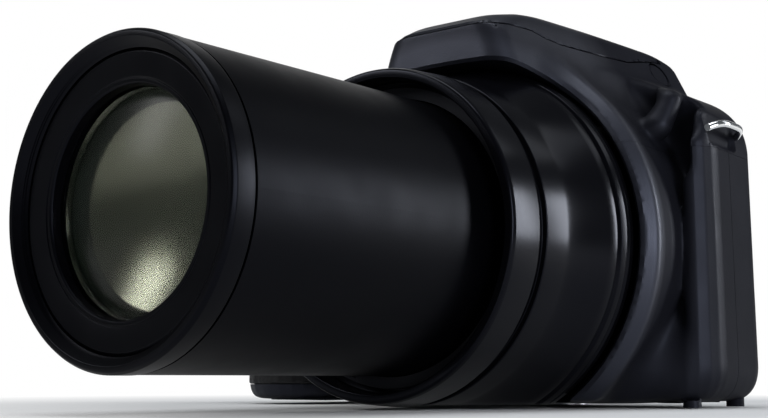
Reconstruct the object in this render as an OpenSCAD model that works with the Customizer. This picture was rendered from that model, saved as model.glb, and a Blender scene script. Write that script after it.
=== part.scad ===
// Bridge camera with a telescoping zoom lens, built as an assembly of separate pieces.
// Origin: mouth of the tripod socket. +Z up, -Y towards the subject, +X the holder's left.
// The lens is stored run out, as it stands when zoomed in.

/* [Covers] */
// Lens axis to the plain side
left_w = 52.5; // [51.5:0.5:56]
// How far the plain side draws in towards the rear
side_taper = 2.4; // [0:0.1:3]
// Lens axis to the outside of the grip
grip_w = 77.7; // [77:0.1:82]
// Tripod socket to the rear face
rear_y = 10; // [9.5:0.5:13]
// Tripod socket to the front wall beside the lens
front_y = 25; // [24:0.5:27]
// How far the grip stands out in front of that wall
grip_reach = 17; // [15:0.5:22]
// Thickness of the grip, left to right
grip_t = 24; // [24:0.1:25]
// Height of the control deck
deck_z = 69; // [67.5:0.5:72]
// Wall of the moulded covers
wall = 2; // [1.7:0.1:2.2]
// Underside of the covers above the base plane
base_z = 0.8; // [0.6:0.1:1]
// Parting line between front and rear covers, behind the socket
seam_y = -9; // [-10:0.5:-8.5]
// Parting line between lower covers and top cover
seam_z = 58.2; // [57.5:0.1:58.5]
// Gap left at parting lines and round moving pieces
gap = 0.3; // [0.25:0.05:0.35]
// Gap between a shaft and its bearing
run = 0.06; // [0.04:0.01:0.09]

/* [Hump] */
// Height of the crest over the barrel's flared base
hump_h = 14.6; // [14.2:0.1:16]
// Nameplate face in front of the socket
plate_y = 53; // [51:0.5:54]
// Half width of the nameplate
plate_w = 16.5; // [16:0.25:18]
// Height of the flash lid from its parting line to the crest
lid_h = 6.7; // [6.4:0.1:7.1]
// Skin of the flash lid
lid_skin = 1.5; // [1.3:0.1:1.6]
// Drop from the crest to the viewfinder axis
finder_drop = 13.5; // [13:0.1:14]
// Depth of the eyecup behind the hump
eyecup_l = 10; // [8:0.5:12]

/* [Lens] */
// Height of the lens axis
lens_z = 36.9; // [36.5:0.1:37.5]
// Mouth of the fixed barrel in front of the socket
mouth_y = 77; // [76:0.5:80]
// How far the lens stands out of the mouth
reach = 70; // [66:1:71]
// How far the zoom tube runs back
zoom_travel = 55; // [40:1:56]
// Turn of the cam barrel over that travel
cam_turn = 120; // [90:5:140]
// Radius of the zoom tube
tube_r = 29.9; // [29.6:0.1:29.9]
// Wall of the zoom tube
tube_wall = 1.5; // [1.4:0.1:1.6]
// Length of the zoom tube
tube_l = 82; // [80:0.5:83]
// Radius of the front bezel
bezel_r = 30; // [29.9:0.1:30.5]
// Radius of the filter thread
filter_r = 27.5; // [27:0.1:27.5]
// Length of the filter thread
filter_l = 2; // [1.6:0.1:2.2]
// Radius of the name ring's inner edge
glass_r = 20.6; // [18:0.1:21]
// Outside radius of the cam barrel
cam_r = 32.6; // [32.5:0.1:32.8]
// Wall of the cam barrel
cam_wall = 2.4; // [2.3:0.1:2.4]
// Radius of the mouth ring
mouth_r = 36.2; // [36:0.1:36.6]
// Radius of the barrel's flared base
flare_r = 41.6; // [41:0.1:41.7]
// Inside radius of the collar on the front cover
collar_r = 42.6; // [42.4:0.1:43]
// Wall of that collar
collar_wall = 2.6; // [2:0.1:2.8]
// Rim of the collar in front of the socket
collar_y = 38; // [37:0.5:39]
// Teeth on the cam barrel
cam_teeth = 132; // [132:1:132]
// Teeth on the zoom gear
pinion_teeth = 16; // [16:1:16]
// Tooth module of that pair
tooth_m = 0.5; // [0.5:0.1:0.5]
// Travel of the focus lens each way
focus_travel = 3; // [2:0.25:3.5]

/* [Controls] */
// Radius of the mode dial
dial_r = 10.5; // [9:0.25:11]
// Height of the mode dial
dial_h = 6.5; // [5:0.25:8]
// Radius of the zoom lever's ring
lever_r = 9; // [8:0.25:9.5]
// Radius of the shutter button
shutter_r = 5.6; // [4.5:0.1:6]
// Stroke of the shutter button
shutter_travel = 1.2; // [0.8:0.1:1.5]
// Stroke of the small keys
key_travel = 0.5; // [0.3:0.1:0.6]
// Radius of the rear dial
thumb_r = 7; // [6:0.25:7.5]
// Radius of the cursor pad
pad_r = 12; // [11:0.25:12.5]

/* [Battery and card] */
// Battery thickness
cell_t = 19.2; // [18:0.1:19.4]
// Battery width
cell_w = 35; // [33:0.5:36]
// Battery height
cell_h = 42; // [36:0.5:43]
// Memory card width
card_w = 24; // [24:0.5:24]
// Memory card height
card_h = 32; // [32:0.5:32]
// Memory card thickness
card_t = 2.1; // [2.1:0.1:2.1]

/* [Fastening] */
// Core radius of the tripod thread
socket_r = 3.175; // [2.8:0.005:3.3]
// Depth of the tripod thread
socket_l = 5.5; // [4.5:0.5:6]
// Radius of the tripod bush
bush_r = 6; // [5.5:0.25:6.5]
// Radius of the strap bar
strap_r = 0.9; // [0.7:0.05:1]

/* [Hidden] */
$fn = 96;
arc_n = 6;
eps = 0.01;
big = 400;

body_black = "#23242a";
satin_black = "#1b1c21";
gloss_black = "#0e0f13";

// Covers, derived
crest_z = lens_z + flare_r + hump_h;
lid_z = crest_z - lid_h;
finder_z = crest_z - finder_drop;
slab_y = -front_y;
nose_y = -front_y - grip_reach;
grip_in = -grip_w + grip_t;
recess_y = slab_y + 4.5;
shoulder_z = deck_z - 1;
ridge_z = deck_z + 9;
hump_y0 = -plate_y;
hump_y1 = rear_y + 3;
collar_out = collar_r + collar_wall;
deck_in = deck_z - wall;
floor_z = base_z + wall;
hump_z0 = seam_z + 9;
under_deck = lid_z - gap - 2.4;

// Flash lid hinge, just under the skin at the rear end of the lid
hinge_y = 5;
hinge_z = crest_z - 4.4;
pin_r = 0.6;
knuckle_r = 1.3;
lid_heel = 0.8;
ear_x = 9;
ear_t = 3;
flash_w = 12.4;
head_w = flash_w + 1.4;
flash_floor = lens_z + collar_r + 1.4;

// Lens, derived: rest is run out
bezel_y = -mouth_y - reach;
tube_in = tube_r - tube_wall;
relief_r = filter_r - 0.6;
tube_end = bezel_y + tube_l;
cam_in = cam_r - cam_wall;
cam_y0 = -mouth_y + 6;
cam_y1 = slab_y + 17;
gear_y0 = cam_y1 - 6;
gear_w = 5;
groove_r = cam_r - 0.7;
pin_y = tube_end - 2.4;
cam_pin_r = 1.2;
shroud_in = cam_r + run + 0.03;
shroud_end = gear_y0 - 1;
base_y0 = cam_y1 + 1;
base_t = 3;
base_y1 = base_y0 + base_t;
guide_out = tube_in - 0.25;
guide_in = guide_out - 1.5;
guide_y0 = tube_end - 5;
key_w = 3;
key_h = 0.7;
rod_c = guide_in - 3.4;
rod_r = 1;
pitch_cam = tooth_m * cam_teeth / 2;
pitch_pinion = tooth_m * pinion_teeth / 2;
pinion_a = 150;
pinion_d = pitch_cam + pitch_pinion + 0.1;
pinion_x = pinion_d * cos(pinion_a);
pinion_z = lens_z + pinion_d * sin(pinion_a);
iris_y = slab_y - 3;
focus_y = iris_y + 12;
stator_x = 17.6;
variator_y = iris_y - 12;

// Battery bay in the grip
cell_x = -grip_w + 3.4;
cell_y1 = rear_y - wall - gap - 2.2;
cell_z0 = base_z + 3.4;
card_x = grip_in + 1.2;
card_y1 = rear_y - wall - 0.8;
door_x0 = cell_x - 0.2;
door_x1 = card_x + card_t + 1.4;
door_x2 = cell_x + cell_t + 0.3;
door_y0 = cell_y1 - cell_w - 0.6;
door_y1 = rear_y - wall - 1.8;
door_y2 = card_y1 - card_w - 0.5;
door_t = 1.8;
door_pin_z = base_z + 1;
door_barrel = 1;
door_pin_r = 0.5;
door_pin_l = 1.5;
latch_l = 11.4;
latch_travel = 4;

// Side door over the sockets
port_y0 = nose_y + grip_t / 2 + 0.6;
port_y1 = seam_y - 1.8;
port_z0 = cell_z0 + cell_h + 1.2;
port_z1 = seam_z - 1.2;
port_mid = (port_z0 + port_z1) / 2;
port_barrel = 1;
port_hinge = port_y0 + port_barrel + gap;

// Controls
lever_x = -grip_w + grip_t / 2 + 1;
lever_y = nose_y + 12;
slope_y = lever_y + 13;
slope_a = 14;
dial_x = -45;
dial_y = -3.5;
power_x = (dial_x - dial_r - grip_w) / 2;
power_y = -3;
record_x = dial_x - 11.7;
record_y = -11;
thumb_x = -grip_w + 13;
thumb_z = seam_z + 5.4;
pad_x = -54;
pad_z = 29;
play_x = -38;
play_z = 50;
finder_key_x = left_w - 14.5;
rear_key_z = seam_z + 5;
lock_x = -40;
lamp_x = grip_in + 5.2;
lamp_z = 54;
lamp_r = 2.3;
key_back = 1.3;
strap_y = -11.5;
strap_z = seam_z + 4.6;
strap_l = 12;
strap_h = 7.6;
strap_depth = 3.8;
strap_proud = 0.7;
diopter_x = plate_w + 11.3;
diopter_r = 3.6;
pad_pin_r = 0.5;
pad_pin_l = 1.2;
flash_key_y = 3;
flash_key_z = finder_z + 2.5;
flash_key_r = 3;

// Screen
lcd_x0 = -24;
lcd_x1 = left_w - side_taper - 7.1;
lcd_z0 = 10;
lcd_z1 = 56;
lcd_t = 4;
lcd_back = rear_y - wall - 0.6;

// 2D tools
function unit(v) = v / norm(v);
function turn2(u, v) = u[0] * v[1] - u[1] * v[0];

// One rounded corner of an outline, given the corners before and after it
function round_corner(q, p, s, r, n) =
    let (u = unit(q - p), v = unit(s - p), half = acos(u * v) / 2,
         c = p + unit(u + v) * r / sin(half), d = r / tan(half),
         a0 = atan2(p[1] + u[1] * d - c[1], p[0] + u[0] * d - c[0]),
         a1 = atan2(p[1] + v[1] * d - c[1], p[0] + v[0] * d - c[0]),
         da = a1 - a0 > 180 ? a1 - a0 - 360 : (a1 - a0 < -180 ? a1 - a0 + 360 : a1 - a0))
    n == 0 ? [p] : [for (i = [0:n]) c + r * [cos(a0 + da * i / n), sin(a0 + da * i / n)]];

// Outline through corners [x, y, radius] or [x, y, radius, steps], counter-clockwise
function round_outline(c) =
    let (n = len(c))
    [for (i = [0:n - 1])
        each round_corner([c[(i + n - 1) % n][0], c[(i + n - 1) % n][1]], [c[i][0], c[i][1]],
                          [c[(i + 1) % n][0], c[(i + 1) % n][1]], c[i][2],
                          len(c[i]) > 3 ? c[i][3] : arc_n)];

// The same corners moved inwards by e
function inset(c, e) =
    let (n = len(c))
    [for (i = [0:n - 1])
        let (p = [c[i][0], c[i][1]],
             u = unit([c[(i + n - 1) % n][0], c[(i + n - 1) % n][1]] - p),
             v = unit([c[(i + 1) % n][0], c[(i + 1) % n][1]] - p),
             out = turn2(v, u) > 0,
             m = p + unit(u + v) * (out ? e : -e) / sin(acos(u * v) / 2))
        concat([m[0], m[1], max(out ? c[i][2] - e : c[i][2] + e, 0.5)], len(c[i]) > 3 ? [c[i][3]] : [])];

// Solids from outlines
module up_prism(c, z0, z1) {
    translate([0, 0, z0]) linear_extrude(z1 - z0) polygon(round_outline(c));
}

module back_prism(c, y0, y1) {
    translate([0, y1, 0]) rotate([90, 0, 0]) linear_extrude(y1 - y0) polygon(round_outline(c));
}

module side_prism(points, x0, x1) {
    translate([x0, 0, 0]) rotate([90, 0, 90]) linear_extrude(x1 - x0) polygon(points);
}

module rod_y(x, z, r, y0, y1) {
    translate([x, y0, z]) rotate([-90, 0, 0]) cylinder(r = r, h = y1 - y0);
}

module rod_x(y, z, r, x0, x1) {
    translate([x0, y, z]) rotate([0, 90, 0]) cylinder(r = r, h = x1 - x0);
}

module rod_z(x, y, r, z0, z1) {
    translate([x, y, z0]) cylinder(r = r, h = z1 - z0);
}

module block(x0, x1, y0, y1, z0, z1) {
    translate([x0, y0, z0]) cube([x1 - x0, y1 - y0, z1 - z0]);
}

// Profile points [radius, y] turned round the lens axis
module lens_turn(points) {
    translate([0, 0, lens_z]) rotate([-90, 0, 0]) rotate_extrude() polygon(points);
}

module lens_tube(r0, r1, y0, y1) {
    lens_turn([[r0, y0], [r1, y0], [r1, y1], [r0, y1]]);
}

module above(z) {
    block(-big, big, -big, big, z, big);
}

// Closed skin over rings of points with equal counts
module loft(rings) {
    n = len(rings[0]);
    m = len(rings);
    sides = [for (j = [0:m - 2], i = [0:n - 1])
        let (a = j * n + i, b = j * n + (i + 1) % n)
        each [[a, a + n, b], [b, a + n, b + n]]];
    polyhedron([for (r = rings) each r],
               concat(sides, [[for (i = [0:n - 1]) i]], [[for (i = [0:n - 1]) m * n - 1 - i]]));
}

// Outer forms
function plan_corners() = [
    [left_w - side_taper, rear_y, 8], [-grip_w, rear_y, 8], [-grip_w, nose_y, grip_t / 2 - 0.6],
    [grip_in, nose_y, grip_t / 2 - 0.6], [grip_in + 2, recess_y, 3.5], [grip_in + 8, recess_y, 4],
    [grip_in + 14, slab_y, 4], [left_w, slab_y, 6]];

function front_corners() = [
    [left_w, base_z, 7], [left_w - 1.2, shoulder_z, 7], [30, ridge_z, 2], [-26, ridge_z, 2],
    [-30, deck_z, 3], [-grip_w, deck_z, 5], [-grip_w, base_z, 3]];

// Hump: a side outline and four pairs of flank planes, each through three points
function hump_outline() = [
    [hump_y0, hump_z0 - 6, 1, 0], [hump_y1, hump_z0 - 6, 1, 0], [hump_y1, lid_z - 0.1, 3], [rear_y - 4, crest_z - 2.8, 12],
    [seam_y - 8, crest_z - 0.2, 40], [hump_y0 + 20, crest_z, 20], [hump_y0 + 6, crest_z - 3, 12],
    [hump_y0, lid_z + 0.6, 1.5]];

function plane(a, b, c) = [a, unit(cross(b - a, c - a))];

hump_low = [plate_w + 15, hump_y0 + 15, seam_z + 3.8];
hump_mid = [plate_w + 3, hump_y0 + 15, lid_z - 0.4];
hump_back = [plate_w + 9.4, rear_y - 4, lid_z];
flanks = [
    plane(hump_low, hump_back, hump_mid),
    plane(hump_mid, hump_back, [plate_w - 2, hump_y0 + 15, crest_z - 1.2]),
    plane([plate_w + 3.3, rear_y - 2, crest_z - 2.9], [plate_w + 2.5, seam_y - 16, crest_z - 0.8],
          [plate_w + 10, rear_y - 2, lid_z]),
    plane([plate_w + 1.3, hump_y0, lid_z - 8], [plate_w + 6.8, hump_y0 + 15, lid_z - 8],
          [plate_w - 0.3, hump_y0, lid_z - 0.4])];

// Everything under a flank plane, e deeper, on side s
module under_plane(f, e, s) {
    p = f[0] - e * f[1];
    translate([s * p[0], p[1], p[2]]) rotate([0, acos(f[1][2]), atan2(f[1][1], s * f[1][0])])
        translate([-big, -big, -2 * big]) cube(2 * big);
}

module hump(e) {
    intersection() {
        side_prism(round_outline(inset(hump_outline(), e)), -big / 4, big / 4);
        under_plane(flanks[0], e, 1);
        under_plane(flanks[0], e, -1);
        under_plane(flanks[1], e, 1);
        under_plane(flanks[1], e, -1);
        under_plane(flanks[2], e, 1);
        under_plane(flanks[2], e, -1);
        under_plane(flanks[3], e, 1);
        under_plane(flanks[3], e, -1);
    }
}

module body_form(e) {
    intersection() {
        up_prism(inset(plan_corners(), e), base_z + e, crest_z);
        back_prism(inset(front_corners(), e), nose_y - 1, rear_y + 1);
        // The deck falls away towards the grip's nose
        side_prism([[slope_y - e * 0.12, deck_z + 20], [slope_y - e * 0.12, deck_z - e],
                    [nose_y - 5, deck_z - e - (slope_y - nose_y + 5) * tan(slope_a)],
                    [nose_y - 5, -10], [rear_y + 5, -10], [rear_y + 5, deck_z + 20]], -big, big);
    }
}

// The slope belongs to the grip alone: the rest keeps the full height
module slab_form(e) {
    union() {
        body_form(e);
        intersection() {
            up_prism(inset(plan_corners(), e), base_z + e, crest_z);
            back_prism(inset(front_corners(), e), nose_y - 1, rear_y + 1);
            block(grip_in + 9, big, -big, big, -big, big);
        }
    }
}

module lens_hole(r, y0) {
    rod_y(0, lens_z, r, y0, slab_y + wall + gap);
}

// Clear space over the barrel under the hump
module barrel_room() {
    translate([0, hump_y0 - 1, lens_z]) rotate([-90, 0, 0])
        cylinder(r1 = flare_r - 0.2, r2 = collar_r, h = plate_y + 1 - collar_y - gap);
    lens_hole(collar_out + gap, -collar_y - gap);
}

module strap_pocket(e) {
    block(left_w - strap_depth - e, left_w + 5, strap_y - strap_l / 2 - e, strap_y + strap_l / 2 + e,
          strap_z - strap_h / 2 - e, strap_z + strap_h / 2 + e);
    block(-grip_w - 5, -grip_w + strap_depth + e, strap_y - strap_l / 2 - e, strap_y + strap_l / 2 + e,
          strap_z - strap_h / 2 - e, strap_z + strap_h / 2 + e);
}

screw_spots = [[left_w - 14.5, -16], [left_w - 14.5, 2], [door_x1 + 15, -17], [door_x1 + 15, 2]];
screw_r = 1;
bush_lip = 1.6;
screw_head = 1.9;
boss_r = 3;
boss_h = 8;
foot_spots = [[left_w - 7.5, -20], [left_w - 7.5, 2.5], [door_x1 + 8, -16], [door_x1 + 8, 2.5]];
foot_r = 2;

module screw_bosses(front) {
    for (s = screw_spots)
        if ((s[1] < seam_y) == front)
            rod_z(s[0], s[1], boss_r, base_z + eps, base_z + boss_h);
}

// Low feet, level with the tripod bush
module feet(front) {
    for (s = foot_spots)
        if ((s[1] < seam_y) == front)
            rod_z(s[0], s[1], foot_r, 0, base_z + eps);
}

module screw_holes() {
    for (s = screw_spots) {
        rod_z(s[0], s[1], screw_r, base_z + 1, base_z + 6.5);
        rod_z(s[0], s[1], screw_head + 0.1, -1, base_z + 1.2);
    }
}

// Outline of the battery door: wide over the card, narrow in the grip
function door_points(e) = [
    [door_x1 + e, door_y1 + door_barrel + e], [door_x0 - e, door_y1 + door_barrel + e],
    [door_x0 - e, door_y0 - e], [door_x2 + e, door_y0 - e], [door_x2 + e, door_y2 - e],
    [door_x1 + e, door_y2 - e]];

module battery_way() {
    translate([0, 0, -1]) linear_extrude(floor_z + 4) polygon(door_points(gap));
    rod_x(door_y1, door_pin_z, door_pin_r + run, door_x0 - door_pin_l - gap, door_x1 + door_pin_l + gap);
}

// Covers
module front_cover() {
    color(body_black) difference() {
        union() {
            difference() {
                intersection() {
                    slab_form(0);
                    block(-big, big, -big, seam_y - gap / 2, -big, seam_z - gap / 2);
                }
                slab_form(wall);
            }
            intersection() {
                lens_tube(collar_r - 1, collar_out, -collar_y, slab_y + wall);
                above(base_z);
            }
            screw_bosses(true);
            feet(true);
        }
        lens_hole(collar_r, -mouth_y);
        screw_holes();
        battery_way();
        rubber_recess();
        port_cut();
        lamp_hole();
    }
}

module rear_cover() {
    color(body_black) difference() {
        union() {
            difference() {
                intersection() {
                    slab_form(0);
                    block(-big, big, seam_y + gap / 2, big, -big, seam_z - gap / 2);
                }
                slab_form(wall);
            }
            screw_bosses(false);
            feet(false);
        }
        screw_holes();
        battery_way();
        block(lcd_x0, lcd_x1, rear_y - wall - 1, rear_y + 1, lcd_z0, lcd_z1);
        rod_y(pad_x, pad_z, pad_r + gap, rear_y - wall - 1, rear_y + 1);
        pad_pins(run, gap);
        rod_y(play_x, play_z, 3 + gap, rear_y - wall - 1, rear_y + 1);
        rod_z(0, 0, bush_r + run, -1, 12);
    }
}

module flash_pocket(e) {
    block(-flash_w - 2 - e, flash_w + 2 + e, hump_y0 + 2.4 - e, hump_y0 + 15, flash_floor - e, lid_z + 20);
}

module top_cover() {
    color(body_black) difference() {
        union() {
            difference() {
                intersection() {
                    slab_form(0);
                    above(seam_z + gap / 2);
                }
                slab_form(wall);
            }
            intersection() {
                strap_pocket(1.4);
                slab_form(0.5);
                above(seam_z + gap / 2);
            }
            difference() {
                intersection() {
                    hump(0);
                    above(hump_z0);
                }
                intersection() {
                    slab_form(wall);
                    block(-big, big, -collar_y, big, 0, ridge_z);
                }
            }
        }
        // Hollow of the hump, under the flash deck
        intersection() {
            hump(wall);
            block(-big, big, -collar_y + 1, hump_y1 - wall, hump_z0 + wall, under_deck);
        }
        lid_room();
        flash_pocket(0);
        barrel_room();
        strap_pocket(0);
        // Openings for the viewfinder and the controls
        finder_way();
        rod_z(dial_x, dial_y, 3 + gap, deck_in - 1, deck_z + 1);
        rod_z(dial_x, dial_y, dial_r + gap, deck_z - 0.9, deck_z + 1);
        shutter_frame() cylinder(r = lever_r - 2.2, h = 12, center = true);
        block(power_x - 5, power_x + 5, power_y - 2 - gap, power_y + 2 + gap, deck_in - 1, deck_z + 1);
        rod_z(record_x, record_y, 3 + gap, deck_in - 1, deck_z + 1);
        block(thumb_x - thumb_r - gap, thumb_x + thumb_r + gap, rear_y - 6, rear_y + 3,
              thumb_z - 2.2 - gap, thumb_z + 2.2 + gap);
        rod_z(thumb_x, rear_y - 5, thumb_r + gap, thumb_z - 2.2 - gap, thumb_z + 2.2 + gap);
        rod_z(thumb_x, rear_y - 5, 1 + run, thumb_z - 3.6, thumb_z + 3.6);
        rod_y(finder_key_x, rear_key_z, 2.6 + gap, rear_y - wall - 1, rear_y + 1);
        rod_y(lock_x, rear_key_z, 2.6 + gap, rear_y - wall - 1, rear_y + 1);
        rod_x(flash_key_y, flash_key_z, flash_key_r + gap, plate_w + 3.5, plate_w + 23.5);
        rod_x(rear_y - 2, finder_z + 5.5, 1.2 + run, -40, -20);
        rod_x(rear_y - 2, finder_z + 5.5, diopter_r + gap, -big, -diopter_x + gap);
        rod_x(hinge_y, hinge_z, pin_r + run, -ear_x - ear_t - 1, ear_x + ear_t + 1);
    }
    color(body_black) thumb_cheeks();
}

// Two lugs inside the top cover that carry the rear dial
module thumb_cheeks() {
    for (s = [-1, 1])
        difference() {
            block(thumb_x - 3, thumb_x + 3, rear_y - 8, rear_y - wall + eps,
                  s > 0 ? thumb_z + 2.2 + gap : thumb_z - 4,
                  s > 0 ? thumb_z + 4 : thumb_z - 2.2 - gap);
            rod_z(thumb_x, rear_y - 5, 1 + run, thumb_z - 10, thumb_z + 10);
        }
}

// Frame of the shutter button, on the sloping deck
module shutter_frame() {
    translate([lever_x, lever_y, deck_z - (slope_y - lever_y) * tan(slope_a)])
        rotate([slope_a, 0, 0]) children();
}

// Space of the flash lid, with room behind its hinge
module lid_room() {
    difference() {
        block(-big, big, -big, hinge_y + knuckle_r + gap + 0.2, lid_z - gap, big);
        hinge_ears();
    }
}

module hinge_ears() {
    for (s = [-1, 1])
        hull() {
            rod_x(hinge_y, hinge_z, knuckle_r, s > 0 ? ear_x : -ear_x - ear_t, s > 0 ? ear_x + ear_t : -ear_x);
            block(s > 0 ? ear_x : -ear_x - ear_t, s > 0 ? ear_x + ear_t : -ear_x,
                  hinge_y + 3, hinge_y + 4, hinge_z - 3, hinge_z);
        }
}

module finder_way() {
    block(-10, 10, rear_y - 2, hump_y1 + 1, finder_z - 3.6, finder_z + 3.6);
}

module port_cut() {
    block(-grip_w - 1, -grip_w + wall + 1, port_y0, port_y1, port_z0, port_z1);
    rod_z(-grip_w + port_barrel, port_hinge, 0.5 + run, port_z0 - 1, port_z1 + 1);
}

module lamp_hole() {
    rod_y(lamp_x, lamp_z, lamp_r + run, recess_y - 6, recess_y + wall + 2);
}

module rubber_recess() {
    difference() {
        block(-big, grip_in + 0.5, -big, seam_y, 5, port_z0 - 3);
        up_prism(inset(plan_corners(), 1), -1, 90);
    }
}

module grip_rubber() {
    color("#17181c") difference() {
        intersection() {
            up_prism(plan_corners(), 5.1, port_z0 - 3.1);
            block(-big, grip_in + 0.4, -big, seam_y - 2 * gap, -big, big);
        }
        up_prism(inset(plan_corners(), 1), -1, 90);
    }
}

// Fixed barrel round the lens
module mouth_ring() {
    color(gloss_black) lens_turn([
        [mouth_r - 2.4, -mouth_y], [mouth_r - 0.5, -mouth_y], [mouth_r, -mouth_y + 0.5],
        [mouth_r + 0.3, -mouth_y + 9.2], [shroud_in + 1.6, -mouth_y + 9.2],
        [shroud_in + 1.6, -mouth_y + 6], [shroud_in + 0.8, -mouth_y + 5]]);
}

module lens_shroud() {
    y0 = -mouth_y + 9.2;
    color(gloss_black) intersection() {
        lens_turn([
            [shroud_in, y0], [shroud_in + 2.6, y0], [shroud_in + 2.6, y0 + 2.4], [mouth_r + 0.6, y0 + 2.4],
            [mouth_r + 1.2, y0 + 9.8], [mouth_r + 2.6, y0 + 15], [flare_r - 1, y0 + 22],
            [flare_r - 0.4, y0 + 24], [flare_r, y0 + 25], [flare_r, -collar_y - 0.5],
            [flare_r - 1.8, -collar_y - 0.5], [flare_r - 2.2, y0 + 25], [mouth_r - 0.4, y0 + 14],
            [shroud_in + 1.2, y0 + 12], [shroud_in + 1.2, shroud_end - 3],
            [shroud_in + 3, shroud_end - 2], [shroud_in + 3, shroud_end], [shroud_in, shroud_end]]);
        above(base_z);
        union() {
            above(floor_z + 0.2);
            block(-big, big, -big, slab_y - gap, -big, big);
        }
    }
}

// Rear plate of the lens, with a ring that meets the barrel
module lens_base() {
    color("#3a3c42") difference() {
        intersection() {
            union() {
                lens_tube(0, shroud_in + 3, base_y0, base_y1);
                lens_tube(shroud_in + 1.6, shroud_in + 3, shroud_end, base_y0 + eps);
                rod_y(pinion_x, pinion_z, 6.4, base_y0, base_y1);
            }
            above(floor_z + 0.2);
        }
        block(-bush_r - bush_lip - gap, bush_r + bush_lip + gap, base_y0 - 1, base_y1 + 1, -1, socket_l + 3.5);
        rod_y(pinion_x, pinion_z, pitch_pinion + 1.2, shroud_end - 1, base_y0);
        rod_y(pinion_x, pinion_z, 0.8, base_y0 - 1, base_y1 + 1);
        block(-5.6, 5.6, base_y0 - 1, base_y1 + 1, lens_z - 4.6, lens_z + 4.6);
        for (a = [90, 270])
            rod_y(rod_c * cos(a), lens_z + rod_c * sin(a), rod_r, base_y0 - 1, base_y1 - 1);
    }
}

module guide_barrel() {
    color("#2b2c31") difference() {
        union() {
            lens_tube(guide_in, guide_out, guide_y0, base_y0);
            lens_tube(guide_in - 5, guide_in + eps, guide_y0, guide_y0 + 2);
            for (a = [30, 150, 270])
                translate([0, guide_y0, lens_z]) rotate([0, a, 0])
                    translate([guide_in + 0.6, 0, -key_w / 2]) cube([guide_out - guide_in + key_h - 0.6, 4, key_w]);
        }
        for (a = [90, 270])
            rod_y(rod_c * cos(a), lens_z + rod_c * sin(a), rod_r, guide_y0 - 1, guide_y0 + 3);
    }
}

module guide_rods() {
    color("silver")
        for (a = [90, 270])
            rod_y(rod_c * cos(a), lens_z + rod_c * sin(a), rod_r, guide_y0 + 0.5, base_y1 - 1.5);
}

// Carriage on the two guide rods
module carriage(y, len_y, r_out, r_in, r_seat) {
    difference() {
        union() {
            lens_tube(r_in, r_out, y, y + len_y);
            for (a = [90, 270])
                translate([0, y, lens_z]) rotate([0, -a, 0])
                    translate([r_out - 1, 0, -2.2]) cube([rod_c - r_out + 1, len_y, 4.4]);
            for (a = [90, 270])
                rod_y(rod_c * cos(a), lens_z + rod_c * sin(a), rod_r + 1.2, y, y + len_y);
        }
        lens_tube(0, r_seat, y + 1, y + len_y + 1);
        lens_tube(0, r_in, y - 1, y + len_y + 1);
        for (a = [90, 270])
            rod_y(rod_c * cos(a), lens_z + rod_c * sin(a), rod_r + run, y - 1, y + len_y + 1);
    }
}

// Lens element with two bulged faces inside a straight rim
module element(r, y0, y1, bulge0, bulge1) {
    n = 8;
    lens_turn(concat(
        [for (i = [0:n]) [r * i / n, y0 - bulge0 * (1 - pow(i / n, 2))]],
        [for (i = [0:n]) [r * (n - i) / n, y1 + bulge1 * (1 - pow((n - i) / n, 2))]]));
}

module iris_unit() {
    color("#222329") difference() {
        lens_tube(8, guide_in - gap / 2, iris_y, iris_y + 6);
        lens_tube(0, 10.5, iris_y + 2, iris_y + 7);
        for (a = [90, 270])
            rod_y(rod_c * cos(a), lens_z + rod_c * sin(a), rod_r + 0.1, iris_y - 1, iris_y + 7);
    }
}

module relay_lens() {
    color("#9fb4c4", 0.5) element(10.4, iris_y + 2.2, iris_y + 4.6, -0.6, 0.8);
}

module image_sensor() {
    color("#2c6b4a") union() {
        block(-9, 9, base_y1, base_y1 + 1.2, lens_z - 8, lens_z + 8);
        block(-5, 5, base_y1 - 2.4, base_y1 + eps, lens_z - 4, lens_z + 4);
    }
}

module main_board() {
    color("#2f6a4c") union() {
        block(-26, left_w - 8.5, base_y1 + 3.6, base_y1 + 4.8, 12, 54);
        block(-9, 9, base_y1 + 1.2, base_y1 + 3.6 + eps, lens_z - 6, lens_z + 6);
        block(16, 34, base_y1 + 2.2, base_y1 + 3.6 + eps, 20, 38);
    }
}

module zoom_motor() {
    color("silver") union() {
        rod_y(pinion_x, pinion_z, 4, base_y1, rear_y - wall - 1);
        rod_y(pinion_x, pinion_z, 0.75, gear_y0 - 0.2, base_y1 + eps);
    }
}

module focus_motor() {
    // Magnet bar of the linear focus drive, from the iris unit to the rear plate
    color("#8a8d94") translate([0, iris_y + 6, lens_z]) rotate([0, 180, 0])
        translate([stator_x, 0, -3]) cube([3.4, base_y0 - iris_y - 6, 6]);
}

// Moving lens groups
module zoom_tube() {
    color(satin_black) difference() {
        union() {
            lens_tube(tube_in, tube_r, bezel_y + 5.4, tube_end);
            lens_tube(glass_r + 2, tube_in + eps, bezel_y + 10, bezel_y + 12);
        }
        // Straight grooves that ride on the guide barrel's keys
        for (a = [30, 150, 270])
            translate([0, tube_end - 5.4 - zoom_travel - 1, lens_z]) rotate([0, a, 0])
                translate([tube_in - 1, 0, -key_w / 2 - 0.15])
                    cube([1 + key_h - 0.1, zoom_travel + 7, key_w + 0.3]);
        for (a = [0, 120, 240])
            translate([0, pin_y, lens_z]) rotate([0, -a, 0]) rotate([0, 90, 0])
                translate([0, 0, tube_in - 2]) cylinder(r = 0.8, h = 4);
    }
}

module cam_pins() {
    color("#c9c4b4")
        for (a = [0, 120, 240])
            translate([0, pin_y, lens_z]) rotate([0, -a, 0]) rotate([0, 90, 0]) {
                translate([0, 0, tube_in + 0.4]) cylinder(r = 0.8, h = tube_wall - 0.4 + eps);
                translate([0, 0, tube_r]) cylinder(r = cam_pin_r, h = groove_r - tube_r - 0.2);
            }
}

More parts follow.
